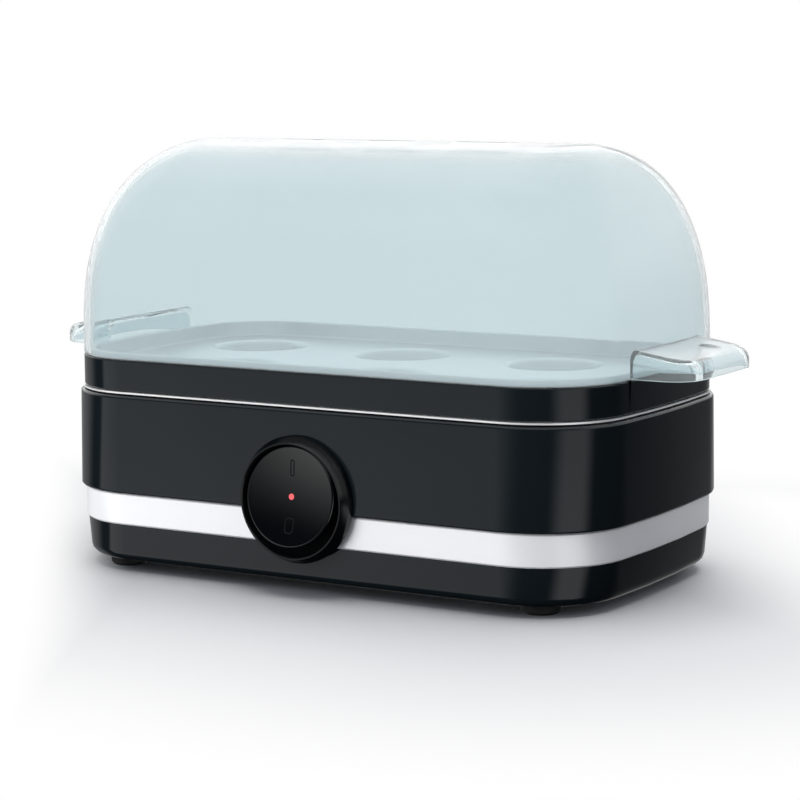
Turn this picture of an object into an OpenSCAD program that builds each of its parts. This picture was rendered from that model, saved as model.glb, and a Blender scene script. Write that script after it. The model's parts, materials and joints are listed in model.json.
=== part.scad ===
// Egg cooker for six eggs: a moulded body with a trim band, a steel basin over a cast heater,
// a lift-out egg tray and a clear hood with a handle at each end.
// Millimetres, +Z up, origin on the table under the middle of the body, switch towards -Y.

/* [Body outline] */
// Length of the body at its widest, without the lid's handles
body_length = 194; // [184:1:206]
// Depth of the body at its widest, without the switch
body_depth = 111.2; // [106:0.1:120]
// Radius of the body's corners, seen from above
corner_r = 29.2; // [25:0.1:33]
// Radius of the bowed end walls, seen from above
end_bow_r = 358; // [300:1:450]

/* [Heights] */
// Height of the feet below the base
foot_h = 3.2; // [2.6:0.1:5]
// Height of the base housing's outside
base_h = 11.9; // [11:0.1:14]
// Height of the trim band
band_h = 10.1; // [8:0.1:12]
// Height of the main housing, up to the ledge that carries the basin
housing_h = 31.4; // [30:0.1:36]
// Height of the egg tray's skirt
skirt_h = 9.7; // [9:0.1:12]
// Height of the lid
lid_h = 66.5; // [60:0.1:74]

/* [Setbacks from the widest outline] */
// Setback of the base at its top
base_setback = 2.0; // [1.7:0.1:2.6]
// How much further the base draws in at its bottom
base_draft = 0.7; // [0.2:0.1:1.2]
// Radius along the base's bottom edge
base_edge_r = 3.0; // [2:0.1:3.4]
// Setback of the trim band
band_setback = 1.5; // [1:0.1:1.7]
// How much the main housing draws in from bottom to top
housing_draft = 0.4; // [0.1:0.1:0.8]
// Radius along the main housing's outer edges
housing_edge_r = 1.0; // [0.5:0.1:1.4]
// Setback of the basin's flange
flange_setback = 1.3; // [1.3:0.1:2]
// Setback of the tray's skirt and of the lid
ring_setback = 1.6; // [1.3:0.1:2]

/* [Walls and clearances] */
// Wall of the base and the main housing
housing_wall = 2.4; // [2:0.1:2.8]
// Wall of the trim band
band_wall = 1.1; // [0.8:0.1:1.4]
// Wall of the egg tray
tray_wall = 1.8; // [1.4:0.1:2.2]
// Wall of the lid
lid_wall = 2.0; // [1.6:0.1:2.4]
// Sheet thickness of the basin
basin_t = 0.5; // [0.4:0.1:0.8]
// Gap under each part that lifts off
lift_gap = 0.3; // [0.2:0.05:0.5]
// Gap between parts that are fitted together
fit_gap = 0.15; // [0.1:0.05:0.3]
// Shadow gap between the main housing and the basin's flange
reveal = 0.5; // [0.3:0.1:0.8]

/* [Lid] */
// How far the lid's ends lean in by its top
end_lean = 27.5; // [22:0.5:34]
// Height over which the lid's ends curve
end_rise = 60; // [52:1:64]
// Height over which the lid's front and back curve
crown_rise = 51; // [44:0.5:56]
// Squareness of the lid's cross-section: 2 is an ellipse
crown_power = 2.5; // [2:0.1:3]
// How fast the lid's corners tighten towards its ridge
corner_power = 0.57; // [0.4:0.01:0.9]
// How far each handle stands out of the lid
handle_reach = 18.1; // [15:0.1:24]
// Width of each handle at its root
handle_w = 49.2; // [40:0.1:56]
// Height of each handle where it meets the lid
handle_h = 8.2; // [7.6:0.1:10]
// How much each handle's top falls to its outer edge
handle_fall = 2.8; // [1:0.1:3.2]
// Corner radius of the handles, seen from above
handle_corner_r = 9; // [7:0.5:11]
// Radius along the handles' top edges
handle_edge_r = 3; // [2:0.1:3.6]
// Wall of the handles
handle_wall = 1.8; // [1.4:0.1:2.2]
// Diameter of the dimple in each handle
dimple_d = 7; // [5:0.5:9]
// Number of steam vents in the lid's top
vent_count = 3; // [2:1:4]
// Length of each steam vent
vent_length = 17; // [8:1:20]
// Width of each steam vent
vent_width = 2.4; // [1.6:0.1:2.8]
// Distance from one steam vent to the next
vent_pitch = 32; // [24:1:36]
// How far each steam vent's rim hangs below the roof
vent_rim = 1.2; // [0.6:0.1:2]

/* [Egg tray] */
// Distance between eggs along a row
egg_pitch = 55; // [50:0.5:57]
// Distance between the two rows
row_pitch = 44; // [40:0.5:46]
// Sideways shift between the two rows
row_stagger = 18.5; // [10:0.5:24]
// Radius of an egg seat at the tray's deck
seat_r = 14.9; // [13:0.1:16.5]
// Radius of an egg seat at its open bottom
seat_throat_r = 12.4; // [11:0.1:12.8]
// Depth of an egg seat below the deck
seat_depth = 7; // [5:0.5:9]
// Depth of the deck below the skirt's top
deck_drop = 3.1; // [2:0.1:4.5]
// Height of the lip that centres the lid
lip_h = 3.2; // [2:0.1:5]

/* [Basin and heater] */
// Setback of the basin's wall at its top
basin_setback = 11.5; // [11:0.1:13]
// Depth of the basin
basin_depth = 12; // [10:0.5:13]
// Radius between the basin's wall and its floor
basin_edge_r = 4; // [3:0.5:5]
// Radius of the heating plate
heater_r = 34; // [32:0.5:38]
// Thickness of the heating plate
heater_t = 3; // [2.5:0.1:4]
// Radius of the element's ring
element_ring_r = 26; // [24:0.5:28]
// Radius of the element's tube
element_r = 3.2; // [2.8:0.1:3.6]
// Angle that the element leaves open at the back
element_gap_angle = 50; // [40:1:60]
// Length of the element's cold ends
cold_end = 10; // [8:0.5:12]
// Radius of the thermostat
thermostat_r = 8; // [7:0.1:9]
// Height of the thermostat
thermostat_h = 8; // [7:0.1:9]
// Distance of each heater stud from the middle
stud_x = 39; // [38.5:0.5:44]
// Radius of the heater studs
stud_r = 1.8; // [1.5:0.1:2]
// Distance of the heat shield below the heating plate
shield_drop = 15; // [14.8:0.1:16]
// Sheet thickness of the heat shield
shield_t = 0.8; // [0.5:0.1:1.2]

/* [Switch] */
// Height of the switch's middle above the table
switch_z = 29.2; // [28.8:0.1:31]
// Radius of the bezel at its back
bezel_r = 19.3; // [19:0.1:21]
// Radius of the bezel at its front
bezel_front_r = 17.9; // [17.7:0.1:18.6]
// Radius of the bezel's well
well_r = 17; // [16.6:0.1:17.3]
// How far the bezel stands out of the housing
bezel_proj = 4.6; // [4.2:0.1:5.5]
// Thickness of the well's floor
well_floor_t = 0.7; // [0.5:0.1:0.75]
// Outer radius of the bezel's neck
neck_r = 13.2; // [13:0.1:13.5]
// Wall of the bezel's neck
neck_wall = 1.6; // [1.2:0.1:1.7]
// Length of the neck behind the housing's face
neck_len = 12; // [11.5:0.1:14]
// Radius of the rocker's disc
rocker_r = 15.1; // [14.6:0.1:15.2]
// Thickness of the rocker's disc
rocker_t = 1.7; // [1.4:0.1:1.8]
// Height of the rocker's face above the housing when level
rocker_face = 4.8; // [4.7:0.1:5.4]
// Distance from the rocker's pivot to its face
pivot_arm = 11.5; // [11:0.1:11.6]
// Tilt of the rocker in each position, in degrees
rocker_tilt = 7.5; // [5:0.1:7.6]
// Radius of the rocker's pin
pin_r = 1.5; // [1.2:0.1:1.8]
// Radial running clearance of the pin
pin_gap = 0.05; // [0.02:0.01:0.1]
// Radius of the indicator lens
lens_r = 1.1; // [0.9:0.1:1.6]

/* [Cord outlet] */
// Sideways place of the cord outlet in the back wall
gland_x = -25; // [-28:0.5:-18]
// Height of the cord outlet above the table
gland_z = 37.5; // [37:0.5:39]
// Radius of the cord outlet's bore
gland_bore_r = 3.6; // [3:0.1:4]
// How far the gland stands out of the back wall
gland_proj = 6.6; // [4:0.1:9]
// Radius of the gland's flange
gland_flange_r = 9; // [8.5:0.1:10]

/* [Feet and fasteners] */
// Radius of the feet
foot_r = 6; // [5:0.1:6.5]
// Distance of the feet's middles from the body's ends
foot_end_setback = 23; // [21:0.5:27]
// Distance of the feet's middles from the body's front and back
foot_side_setback = 15.1; // [14:0.1:17]
// Depth of each foot's recess
foot_recess = 1; // [0.8:0.1:1.2]
// Thickness of the bottom plate
plate_t = 2.2; // [2:0.1:3]
// Sideways place of the body's screws
screw_x = 52; // [48:0.5:56]
// Setback of the body's screws from the front and the back
screw_setback = 14.5; // [14.2:0.1:15.5]
// Radius of a screw's shank
screw_r = 1.5; // [1.3:0.1:1.7]
// Radius of a screw's head
screw_head_r = 3; // [2.7:0.1:3.3]

/* [Hidden] */
$fn = 48;

// Steps along each rounded corner and each bowed end, seen from above
corner_steps = 9;
end_steps = 3;
// Steps along an edge radius
edge_steps = 3;

// How far the element is sunk into the heating plate
element_sink = 1;

// Heights of the joints between the parts
z_base = foot_h;
z_band = z_base + base_h;
z_housing = z_band + band_h;
z_ledge = z_housing + housing_h;
z_flange = z_ledge + basin_t;
z_skirt = z_flange + lift_gap;
z_ring = z_skirt + skirt_h;
z_lid = z_ring + lift_gap;
z_lid_top = z_lid + lid_h;
z_deck = z_ring - deck_drop;
z_basin_floor = z_flange - basin_depth;
z_heater = z_basin_floor - basin_t;
z_element = z_heater - heater_t - element_r + element_sink;
z_shield = z_heater - heater_t - shield_drop;

// Setbacks that follow from the walls
spigot_setback = max(housing_wall, band_setback + band_wall) + fit_gap;
spigot_wall = 2;
spigot_overlap = 3;
plate_setback = base_setback + base_draft + base_edge_r + fit_gap;
plate_ledge = 2.6;
ledge_w = 2.6;
rim_t = 2.4;
lip_setback = ring_setback + lid_wall + lift_gap;

body_a = body_length / 2;
body_b = body_depth / 2;
lid_a = body_a - ring_setback;
lid_b = body_b - ring_setback;

// --- Outlines and lofts ---

// Points on an arc, from the given step on
function arc(x, y, r, from, to, steps, first = 0) =
    [for (i = [first:steps]) let (t = from + (to - from) * i / steps) [x + r * cos(t), y + r * sin(t)]];

// Rounded oblong with bowed ends: half length, half depth, corner radius, end radius
function oblong(a, b, r, bow) =
    let (
        yc = b - r,
        xb = a - bow,
        xc = xb + sqrt((bow - r) * (bow - r) - yc * yc),
        t = atan2(yc, xc - xb),
        last = 90 - t
    )
    concat(
        arc(xb, 0, bow, -t, t, end_steps),
        arc(xc, yc, r, t, 90, corner_steps, 1),
        arc(-xc, yc, r, 90, 180 - t, corner_steps),
        arc(-xb, 0, bow, 180 - t, 180 + t, end_steps, 1),
        arc(-xc, -yc, r, 180 + t, 270, corner_steps, 1),
        arc(xc, -yc, r, 270, 270 + last * (corner_steps - 1) / corner_steps, corner_steps - 1)
    );

// The body's outline, set back by a distance
function outline(setback) =
    oblong(body_a - setback, body_b - setback, corner_r - setback, end_bow_r - setback);

function at_height(points, z) = [for (p = points) [p[0], p[1], z]];

// Quarter round in a section of [setback, height] points, about a centre
function edge_round(s, z, r, from, to) =
    [for (p = arc(s, z, r, from, to, edge_steps)) p];

// Solid through a list of outlines, each with the same number of points
module loft(rings, closed = false) {
    n = len(rings[0]);
    m = len(rings);
    last = closed ? m - 1 : m - 2;
    sides = [
        for (j = [0:last])
            for (i = [0:n - 1])
                let (k = (j + 1) % m, l = (i + 1) % n)
                    [j * n + i, k * n + i, k * n + l, j * n + l]
    ];
    caps = closed ? [] : [
        [for (i = [0:n - 1]) i],
        [for (i = [0:n - 1]) m * n - 1 - i]
    ];
    polyhedron(points = [for (ring = rings) each ring], faces = concat(sides, caps), convexity = 6);
}

// Section of [setback, height] points carried round the body's outline
module surround(section) {
    loft([for (p = section) at_height(outline(p[0]), p[1])], closed = true);
}

// Upright wall between two setbacks
module wall(outer, inner, z0, z1) {
    translate([0, 0, z0])
        linear_extrude(z1 - z0)
            difference() {
                polygon(outline(outer));
                polygon(outline(inner));
            }
}

// Flat sheet inside a setback
module sheet(setback, z0, z1) {
    translate([0, 0, z0])
        linear_extrude(z1 - z0)
            polygon(outline(setback));
}

// A copy in each quarter of the plan
module four(x, y) {
    for (sx = [-1, 1])
        for (sy = [-1, 1])
            translate([sx * x, sy * y, 0])
                children();
}

// Switch frame: local Z out of the front wall, local Y up
module at_switch() {
    translate([0, -body_b, switch_z])
        rotate([90, 0, 0])
            children();
}

// Gland frame: local Z out of the back wall
module at_gland() {
    translate([gland_x, body_b, gland_z])
        rotate([-90, 0, 0])
            children();
}

// Cylinder between two heights at a place
module post(x, y, z0, z1, r) {
    translate([x, y, z0])
        cylinder(r = r, h = z1 - z0);
}

// Pan-head screw, head down, with its head's seat at height z
module screw_up(x, y, z, length, r, head_r, head_h) {
    post(x, y, z - 0.01, z + length, r);
    translate([x, y, z - head_h])
        rotate_extrude()
            polygon([
                [0, 0], [head_r * 0.6, 0], [head_r, head_h * 0.5], [head_r, head_h], [0, head_h]
            ]);
}

// --- Body ---

foot_x = body_a - foot_end_setback;
foot_y = body_b - foot_side_setback;
screw_y = body_b - screw_setback;
foot_edge = 0.8;
boss_r = 3.6;
pilot_r = screw_r - 0.2;
boss_depth = 14;
boss_drop = 3;
boss_top = z_heater - boss_drop;
head_recess = 2.4;
head_floor = 2;
head_h = 2;
small_head_h = 1.6;
gusset_t = 2;
gusset_drop = 3;
slot_count = 7;
slot_pitch = 4.2;
slot_w = 1.5;
slot_l = 24;
slot_x = 26;
stiffener_y = 18;
stiffener_l = 120;
stiffener_t = 1.8;
stiffener_h = 2.5;

module rubber_feet() {
    color([0.09, 0.09, 0.1])
        four(foot_x, foot_y)
            rotate_extrude()
                polygon([
                    [0, 0], [foot_r - foot_edge, 0], [foot_r, foot_edge],
                    [foot_r, foot_h + foot_recess], [0, foot_h + foot_recess]
                ]);
}

z_plate_top = z_base + plate_t;
z_seat_screw = z_base + head_recess;

module bottom_plate() {
    color([0.13, 0.13, 0.14])
        difference() {
            union() {
                sheet(plate_setback + fit_gap, z_base, z_plate_top);
                four(screw_x, screw_y)
                    post(0, 0, z_base, z_seat_screw + head_floor, boss_r + 2);
                for (sx = [-1, 1])
                    post(block_x + sx * block_screw_dx, block_y, z_base, z_block, boss_r);
                for (sy = [-1, 1])
                    translate([-stiffener_l / 2, sy * stiffener_y - stiffener_t / 2, z_plate_top - 0.5])
                        cube([stiffener_l, stiffener_t, stiffener_h + 0.5]);
            }
            four(screw_x, screw_y) {
                post(0, 0, z_base - 1, z_seat_screw, screw_head_r + 0.4);
                post(0, 0, z_base - 1, z_seat_screw + 5, screw_r + 0.2);
            }
            four(foot_x, foot_y)
                post(0, 0, z_base - 1, z_base + foot_recess, foot_r);
            for (sx = [-1, 1])
                post(
                    block_x + sx * block_screw_dx, block_y, z_block + block_floor - block_screw_l - 1,
                    z_block + 1, pilot_r
                );
            for (i = [0:slot_count - 1])
                for (side = [-1, 1])
                    translate([
                        side * slot_x - slot_l / 2,
                        (i - (slot_count - 1) / 2) * slot_pitch - slot_w / 2,
                        z_base - 1
                    ])
                        cube([slot_l, slot_w, plate_t + 2]);
        }
}

module base_housing() {
    s0 = base_setback;
    s1 = base_setback + base_draft;
    color([0.1, 0.1, 0.11])
        difference() {
            surround(concat(
                [[s0, z_band], [spigot_setback, z_band], [spigot_setback, z_housing + spigot_overlap]],
                [[spigot_setback + spigot_wall, z_housing + spigot_overlap]],
                [[spigot_setback + spigot_wall, z_plate_top + ledge_w]],
                [[plate_setback + plate_ledge, z_plate_top + ledge_w]],
                [[plate_setback + plate_ledge, z_plate_top]],
                [[plate_setback, z_plate_top], [plate_setback, z_base]],
                [for (i = [0:edge_steps])
                    let (t = i * 90 / edge_steps)
                        [s1 + base_edge_r - base_edge_r * sin(t), z_base + base_edge_r - base_edge_r * cos(t)]]
            ));
            at_switch()
                translate([0, 0, -20])
                    cylinder(r = neck_r + fit_gap, h = 40);
        }
}

module trim_band() {
    e = 0.5;
    inner = band_setback + band_wall;
    color([0.93, 0.93, 0.94])
        difference() {
            surround([
                [inner, z_band], [band_setback + e, z_band], [band_setback, z_band + e],
                [band_setback, z_housing - e], [band_setback + e, z_housing], [inner, z_housing]
            ]);
            at_switch()
                translate([0, 0, -20])
                    cylinder(r = neck_r + fit_gap, h = 40);
        }
}

gland_neck_r = gland_bore_r + 2.8;
gland_inner_r = gland_neck_r + 1.4;
z_bridge = gland_z - gland_bore_r - 0.5;
bridge_t = 4;
clamp_dx = gland_inner_r + 1.3;
clamp_post_r = 3.2;
clamp_y = body_b - 8.5;
z_clamp = gland_z + gland_bore_r;

module main_housing() {
    r = housing_edge_r;
    top = z_ledge - reveal;
    color([0.1, 0.1, 0.11])
        difference() {
            union() {
                surround(concat(
                    [[housing_wall, z_housing]],
                    edge_round(r, z_housing + r, r, 270, 180),
                    [for (p = edge_round(0, 0, r, 180, 90)) [housing_draft + r + p[0], top - r + p[1]]],
                    [[housing_draft + housing_wall, top], [housing_draft + housing_wall, z_ledge]],
                    [[basin_setback - fit_gap, z_ledge]],
                    [[basin_setback - fit_gap, z_ledge - rim_t]],
                    [[housing_draft + housing_wall, z_ledge - rim_t]]
                ));
                four(screw_x, screw_y)
                    post(0, 0, z_seat_screw + head_floor + fit_gap, boss_top, boss_r);
                for (sx = [-1, 1])
                    for (sy = [-1, 1])
                        translate([
                            sx * screw_x - gusset_t / 2,
                            sy > 0 ? screw_y : -body_b + housing_wall - housing_draft,
                            z_housing + spigot_overlap + 1
                        ])
                            cube([
                                gusset_t, screw_setback - housing_wall + housing_draft,
                                boss_top - gusset_drop - z_housing - spigot_overlap
                            ]);
                translate([gland_x - clamp_dx, clamp_y - 2.5, z_bridge - bridge_t])
                    cube([2 * clamp_dx, 5, bridge_t]);
                for (sx = [-1, 1]) {
                    post(gland_x + sx * clamp_dx, clamp_y, z_bridge - bridge_t, z_clamp, clamp_post_r);
                    translate([gland_x + sx * (clamp_dx + 0.2) - 1, clamp_y, z_bridge - bridge_t])
                        cube([2, body_b - housing_wall - clamp_y, z_clamp - z_bridge + bridge_t]);
                }
            }
            four(screw_x, screw_y)
                post(0, 0, z_base, z_seat_screw + boss_depth, pilot_r);
            for (sx = [-1, 1])
                post(gland_x + sx * clamp_dx, clamp_y, z_bridge - bridge_t + 1, z_clamp + 1, pilot_r);
            at_switch()
                translate([0, 0, -housing_wall - 8])
                    cylinder(r = neck_r + fit_gap, h = 20);
            at_gland()
                translate([0, 0, -6])
                    cylinder(r = gland_neck_r + fit_gap, h = 12);
        }
}

module body_screws() {
    color([0.6, 0.6, 0.62])
        four(screw_x, screw_y)
            screw_up(0, 0, z_seat_screw, boss_depth - head_h, pilot_r, screw_head_r, head_h);
}

// --- Basin and heater ---

module heating_basin() {
    t = basin_t;
    s = basin_setback;
    r = basin_edge_r;
    // Upper face from the flange down to the floor, then the lower face back to the flange
    upper = concat(
        [[flange_setback, z_flange], [s + t, z_flange]],
        [for (i = [0:edge_steps])
            let (a = i * 90 / edge_steps)
                [s + t + 0.6 + r * (1 - cos(a)), z_basin_floor + r * (1 - sin(a))]]
    );
    lower = concat(
        [for (i = [edge_steps:-1:0])
            let (a = i * 90 / edge_steps)
                [s + 0.6 + (r + t) * (1 - cos(a)) , z_basin_floor - t + (r + t) * (1 - sin(a))]],
        [[s, z_ledge], [flange_setback, z_ledge]]
    );
    section = concat(lower, upper);
    color([0.72, 0.72, 0.73])
        loft([for (p = section) at_height(outline(p[0]), p[1])]);
}

rib_r = element_r + 2;
rib_margin = 10;
groove_gap = 0.05;
lug_r = 5;
bracket_dy = thermostat_r + 6;
flange_t = 1;
z_bracket = z_heater - heater_t - flange_t;

// Arc of the heating element's ring, open at the back
module element_arc(r, extra = 0) {
    open = element_gap_angle - extra;
    rotate([0, 0, 90 + open / 2])
        rotate_extrude(angle = 360 - open)
            translate([element_ring_r, 0])
                circle(r = r);
}

module heating_plate() {
    color([0.75, 0.75, 0.76])
        difference() {
            union() {
                post(0, 0, z_heater - heater_t, z_heater, heater_r);
                translate([0, 0, z_element])
                    rotate([0, 0, 90 + element_gap_angle / 2 + rib_margin])
                        rotate_extrude(angle = 360 - element_gap_angle - 2 * rib_margin)
                            translate([element_ring_r - rib_r, -element_r])
                                square([2 * rib_r, 2 * element_r + 0.5]);
                translate([-stud_x - lug_r, -lug_r, z_heater - heater_t])
                    cube([2 * (stud_x + lug_r), 2 * lug_r, heater_t]);
                for (sy = [-1, 1])
                    post(0, sy * bracket_dy, z_bracket, z_heater - heater_t + 0.5, boss_r);
            }
            translate([0, 0, z_element])
                element_arc(element_r + groove_gap, 4);
            for (sx = [-1, 1])
                post(sx * stud_x, 0, z_heater - heater_t - 1, z_heater - 1, stud_r);
            for (sy = [-1, 1])
                post(0, sy * bracket_dy, z_bracket - 1, z_heater - 0.8, pilot_r);
        }
}

module heating_element() {
    end = 90 - element_gap_angle / 2;
    color([0.45, 0.45, 0.46]) {
        translate([0, 0, z_element])
            element_arc(element_r);
        for (sx = [-1, 1])
            post(
                sx * element_ring_r * cos(end), element_ring_r * sin(end),
                z_element - cold_end + 4, z_element + element_r - element_sink - 0.2, element_r + 0.3
            );
    }
}

tab_t = 0.8;
tab_w = 6.3;
tab_l = 12;
pin_drop = 2.2;
cold_x = element_ring_r * sin(element_gap_angle / 2);
cold_y = element_ring_r * cos(element_gap_angle / 2);
z_cold = z_element - cold_end + 4;

module element_terminals() {
    color([0.8, 0.68, 0.35])
        for (sx = [-1, 1]) {
            post(sx * cold_x, cold_y, z_cold - pin_drop, z_cold, 1.3);
            translate([sx * cold_x - tab_w / 2, cold_y - tab_w / 2, z_cold - pin_drop - tab_t])
                cube([tab_w, tab_l + tab_w / 2, tab_t]);
        }
}

spacer_r = stud_r + 1.4;
nut_r = stud_r + 1.9;
nut_h = 2.6;

module heater_studs() {
    color([0.68, 0.68, 0.7])
        for (sx = [-1, 1]) {
            post(sx * stud_x, 0, z_shield + shield_t, z_heater - heater_t, spacer_r);
            post(sx * stud_x, 0, z_shield - nut_h - 1, z_heater - 1, stud_r);
        }
}

shield_a = stud_x + 8;
shield_b = 25;
shield_corner_r = 9;
shield_lip = 2;

module heat_shield() {
    color([0.7, 0.7, 0.7])
        difference() {
            translate([0, 0, z_shield])
                linear_extrude(shield_t + shield_lip)
                    polygon(oblong(shield_a, shield_b, shield_corner_r, end_bow_r));
            translate([0, 0, z_shield + shield_t])
                linear_extrude(shield_lip + 1)
                    polygon(oblong(
                        shield_a - shield_t, shield_b - shield_t, shield_corner_r - shield_t, end_bow_r
                    ));
            for (sx = [-1, 1])
                post(sx * stud_x, 0, z_shield - 1, z_shield + shield_t + 1, stud_r + fit_gap);
        }
}

module stud_nuts() {
    color([0.68, 0.68, 0.7])
        for (sx = [-1, 1])
            difference() {
                translate([sx * stud_x, 0, z_shield - nut_h])
                    cylinder(r = nut_r, h = nut_h, $fn = 6);
                post(sx * stud_x, 0, z_shield - nut_h - 1, z_shield + 1, stud_r);
            }
}

z_thermostat = z_heater - heater_t;
blade_h = 4.5;
blade_x = 4;
blade_w = 4;

module thermostat() {
    color([0.3, 0.2, 0.14]) {
        post(0, 0, z_thermostat - flange_t, z_thermostat, thermostat_r + 2);
        post(0, 0, z_thermostat - thermostat_h, z_thermostat - flange_t, thermostat_r);
        for (sx = [-1, 1])
            translate([
                sx * blade_x - tab_t / 2, -blade_w / 2, z_thermostat - thermostat_h - blade_h
            ])
                cube([tab_t, blade_w, blade_h + 1]);
    }
}

bracket_t = 1;
bracket_screw_l = 3.4;

module thermostat_bracket() {
    color([0.7, 0.7, 0.7])
        difference() {
            union() {
                translate([-5, -bracket_dy, z_bracket - bracket_t])
                    cube([10, 2 * bracket_dy, bracket_t]);
                post(0, 0, z_bracket - bracket_t, z_bracket, thermostat_r + 2);
                for (sy = [-1, 1])
                    post(0, sy * bracket_dy, z_bracket - bracket_t, z_bracket, 5);
            }
            post(0, 0, z_bracket - 3, z_bracket + 1, thermostat_r + fit_gap);
            for (sy = [-1, 1])
                post(0, sy * bracket_dy, z_bracket - 3, z_bracket + 1, screw_r + fit_gap);
        }
}

module bracket_screws() {
    color([0.6, 0.6, 0.62])
        for (sy = [-1, 1])
            screw_up(
                0, sy * bracket_dy, z_bracket - bracket_t, bracket_screw_l, pilot_r,
                screw_head_r - 0.4, small_head_h
            );
}

fuse_r = 2.2;
fuse_l = 11;
fuse_x = thermostat_r + 7;

module thermal_fuse() {
    color([0.9, 0.88, 0.8])
        translate([fuse_x, 0, z_thermostat - fuse_r - 0.1])
            rotate([90, 0, 0]) {
                cylinder(r = fuse_r, h = fuse_l, center = true);
                cylinder(r = 0.6, h = fuse_l + 8, center = true);
            }
}

// --- Switch ---

neck_inner_r = neck_r - neck_wall;
pivot_z = rocker_face - pivot_arm;
ear_x = 8;
ear_t = 2.4;
ear_w = 8;
ear_top = 3.2;
switch_w = 25;
switch_h = 13;
switch_depth = 11;
switch_flange_t = 1.5;
hook_w = 5;
hook_t = 1;

module switch_bezel() {
    color([0.07, 0.07, 0.08])
        at_switch() {
            rotate_extrude()
                polygon([
                    [neck_inner_r, -neck_len], [neck_r, -neck_len], [neck_r, fit_gap],
                    [bezel_r, fit_gap], [bezel_r, 1.1], [bezel_front_r, bezel_proj - 0.5],
                    [bezel_front_r - 0.3, bezel_proj], [well_r + 0.2, bezel_proj],
                    [well_r, bezel_proj - 0.2], [well_r, well_floor_t], [neck_inner_r, well_floor_t]
                ]);
            for (a = [35, 145])
                rotate([0, 0, a])
                    translate([neck_r - 0.3, -hook_w / 2, -housing_wall - housing_draft - 2.2])
                        cube([hook_t + 0.3, hook_w, 2]);
        }
}

module switch_body() {
    color([0.16, 0.16, 0.17])
        at_switch()
            difference() {
                union() {
                    translate([-switch_w / 2, -switch_h / 2, -neck_len - switch_depth])
                        cube([switch_w, switch_h, switch_depth]);
                    translate([0, 0, -neck_len - switch_flange_t])
                        cylinder(r = neck_r, h = switch_flange_t);
                    for (sx = [-1, 1])
                        translate([
                            sx > 0 ? ear_x : -ear_x - ear_t, -ear_w / 2, -neck_len - 0.5
                        ])
                            cube([ear_t, ear_w, neck_len + 0.5 + pivot_z + ear_top]);
                }
                translate([0, 0, pivot_z])
                    rotate([0, 90, 0])
                        cylinder(r = pin_r + 0.02, h = 60, center = true);
            }
}

prong_x = 6;
prong_y = 5;
prong_l = 7;
prong_w = 4.8;

module switch_terminals() {
    color([0.8, 0.68, 0.35])
        at_switch()
            for (sx = [-1, 1])
                for (sy = [-1, 1])
                    translate([
                        sx * prong_x - prong_w / 2, sy * prong_y - tab_t / 2,
                        -neck_len - switch_depth - prong_l
                    ])
                        cube([prong_w, tab_t, prong_l]);
}

module rocker_pin() {
    color([0.7, 0.7, 0.72])
        at_switch()
            translate([0, 0, pivot_z])
                rotate([0, 90, 0])
                    cylinder(r = pin_r, h = 2 * (ear_x + ear_t), center = true);
}

// Rocker frame: origin on the pivot, tilted to the position in which the top is pressed in
module at_rocker() {
    at_switch()
        translate([0, 0, pivot_z])
            rotate([-rocker_tilt, 0, 0])
                children();
}

hub_w = 2 * ear_x - 0.8;
hub_h = 10;
hub_back = 4;
lamp_r = 2;
rocker_edge = 0.7;

module rocker() {
    color([0.06, 0.06, 0.07])
        at_rocker()
            difference() {
                union() {
                    rotate_extrude()
                        polygon([
                            [0, pivot_arm - rocker_t], [rocker_r - 0.3, pivot_arm - rocker_t],
                            [rocker_r, pivot_arm - rocker_t + 0.3], [rocker_r, pivot_arm - rocker_edge],
                            [rocker_r - 0.2, pivot_arm - 0.2], [rocker_r - rocker_edge, pivot_arm],
                            [0, pivot_arm]
                        ]);
                    translate([-hub_w / 2, -hub_h / 2, -hub_back])
                        cube([hub_w, hub_h, hub_back + pivot_arm - rocker_t + 0.3]);
                }
                rotate([0, 90, 0])
                    cylinder(r = pin_r + pin_gap, h = 40, center = true);
                translate([0, 0, -hub_back - 1])
                    cylinder(r = lamp_r + fit_gap, h = hub_back + 1 + pivot_arm - rocker_t);
                cylinder(r = lens_r, h = pivot_arm + 1);
            }
}

module indicator_lens() {
    color([0.85, 0.08, 0.08])
        at_rocker()
            translate([0, 0, pivot_arm - rocker_t])
                cylinder(r = lens_r, h = rocker_t + 0.2);
}

module indicator_lamp() {
    color([0.9, 0.5, 0.4])
        at_rocker()
            translate([0, 0, pin_r + 0.5])
                cylinder(r = lamp_r, h = pivot_arm - rocker_t - pin_r - 0.55);
}

// --- Cord outlet ---

module cord_gland() {
    back = -housing_wall - housing_draft - 0.05;
    color([0.08, 0.08, 0.09])
        at_gland()
            rotate_extrude()
                polygon([
                    [gland_bore_r, back - 1.6], [gland_inner_r, back - 1.6], [gland_inner_r, back],
                    [gland_neck_r, back], [gland_neck_r, 0.05], [gland_flange_r, 0.05],
                    [gland_flange_r, 1.4], [gland_flange_r - 0.6, 2], [gland_neck_r + 0.4, 2.2],
                    [gland_bore_r + 1.6, gland_proj - 0.6], [gland_bore_r + 1, gland_proj],
                    [gland_bore_r, gland_proj]
                ]);
}

bar_t = 2.5;
clamp_screw_bite = 5;

module cord_clamp() {
    color([0.13, 0.13, 0.14])
        difference() {
            union() {
                translate([gland_x - clamp_dx, clamp_y - clamp_post_r, z_clamp])
                    cube([2 * clamp_dx, 2 * clamp_post_r, bar_t]);
                for (sx = [-1, 1])
                    post(gland_x + sx * clamp_dx, clamp_y, z_clamp, z_clamp + bar_t, clamp_post_r + 0.3);
            }
            for (sx = [-1, 1])
                post(gland_x + sx * clamp_dx, clamp_y, z_clamp - 1, z_clamp + bar_t + 1, screw_r + fit_gap);
        }
}

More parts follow.
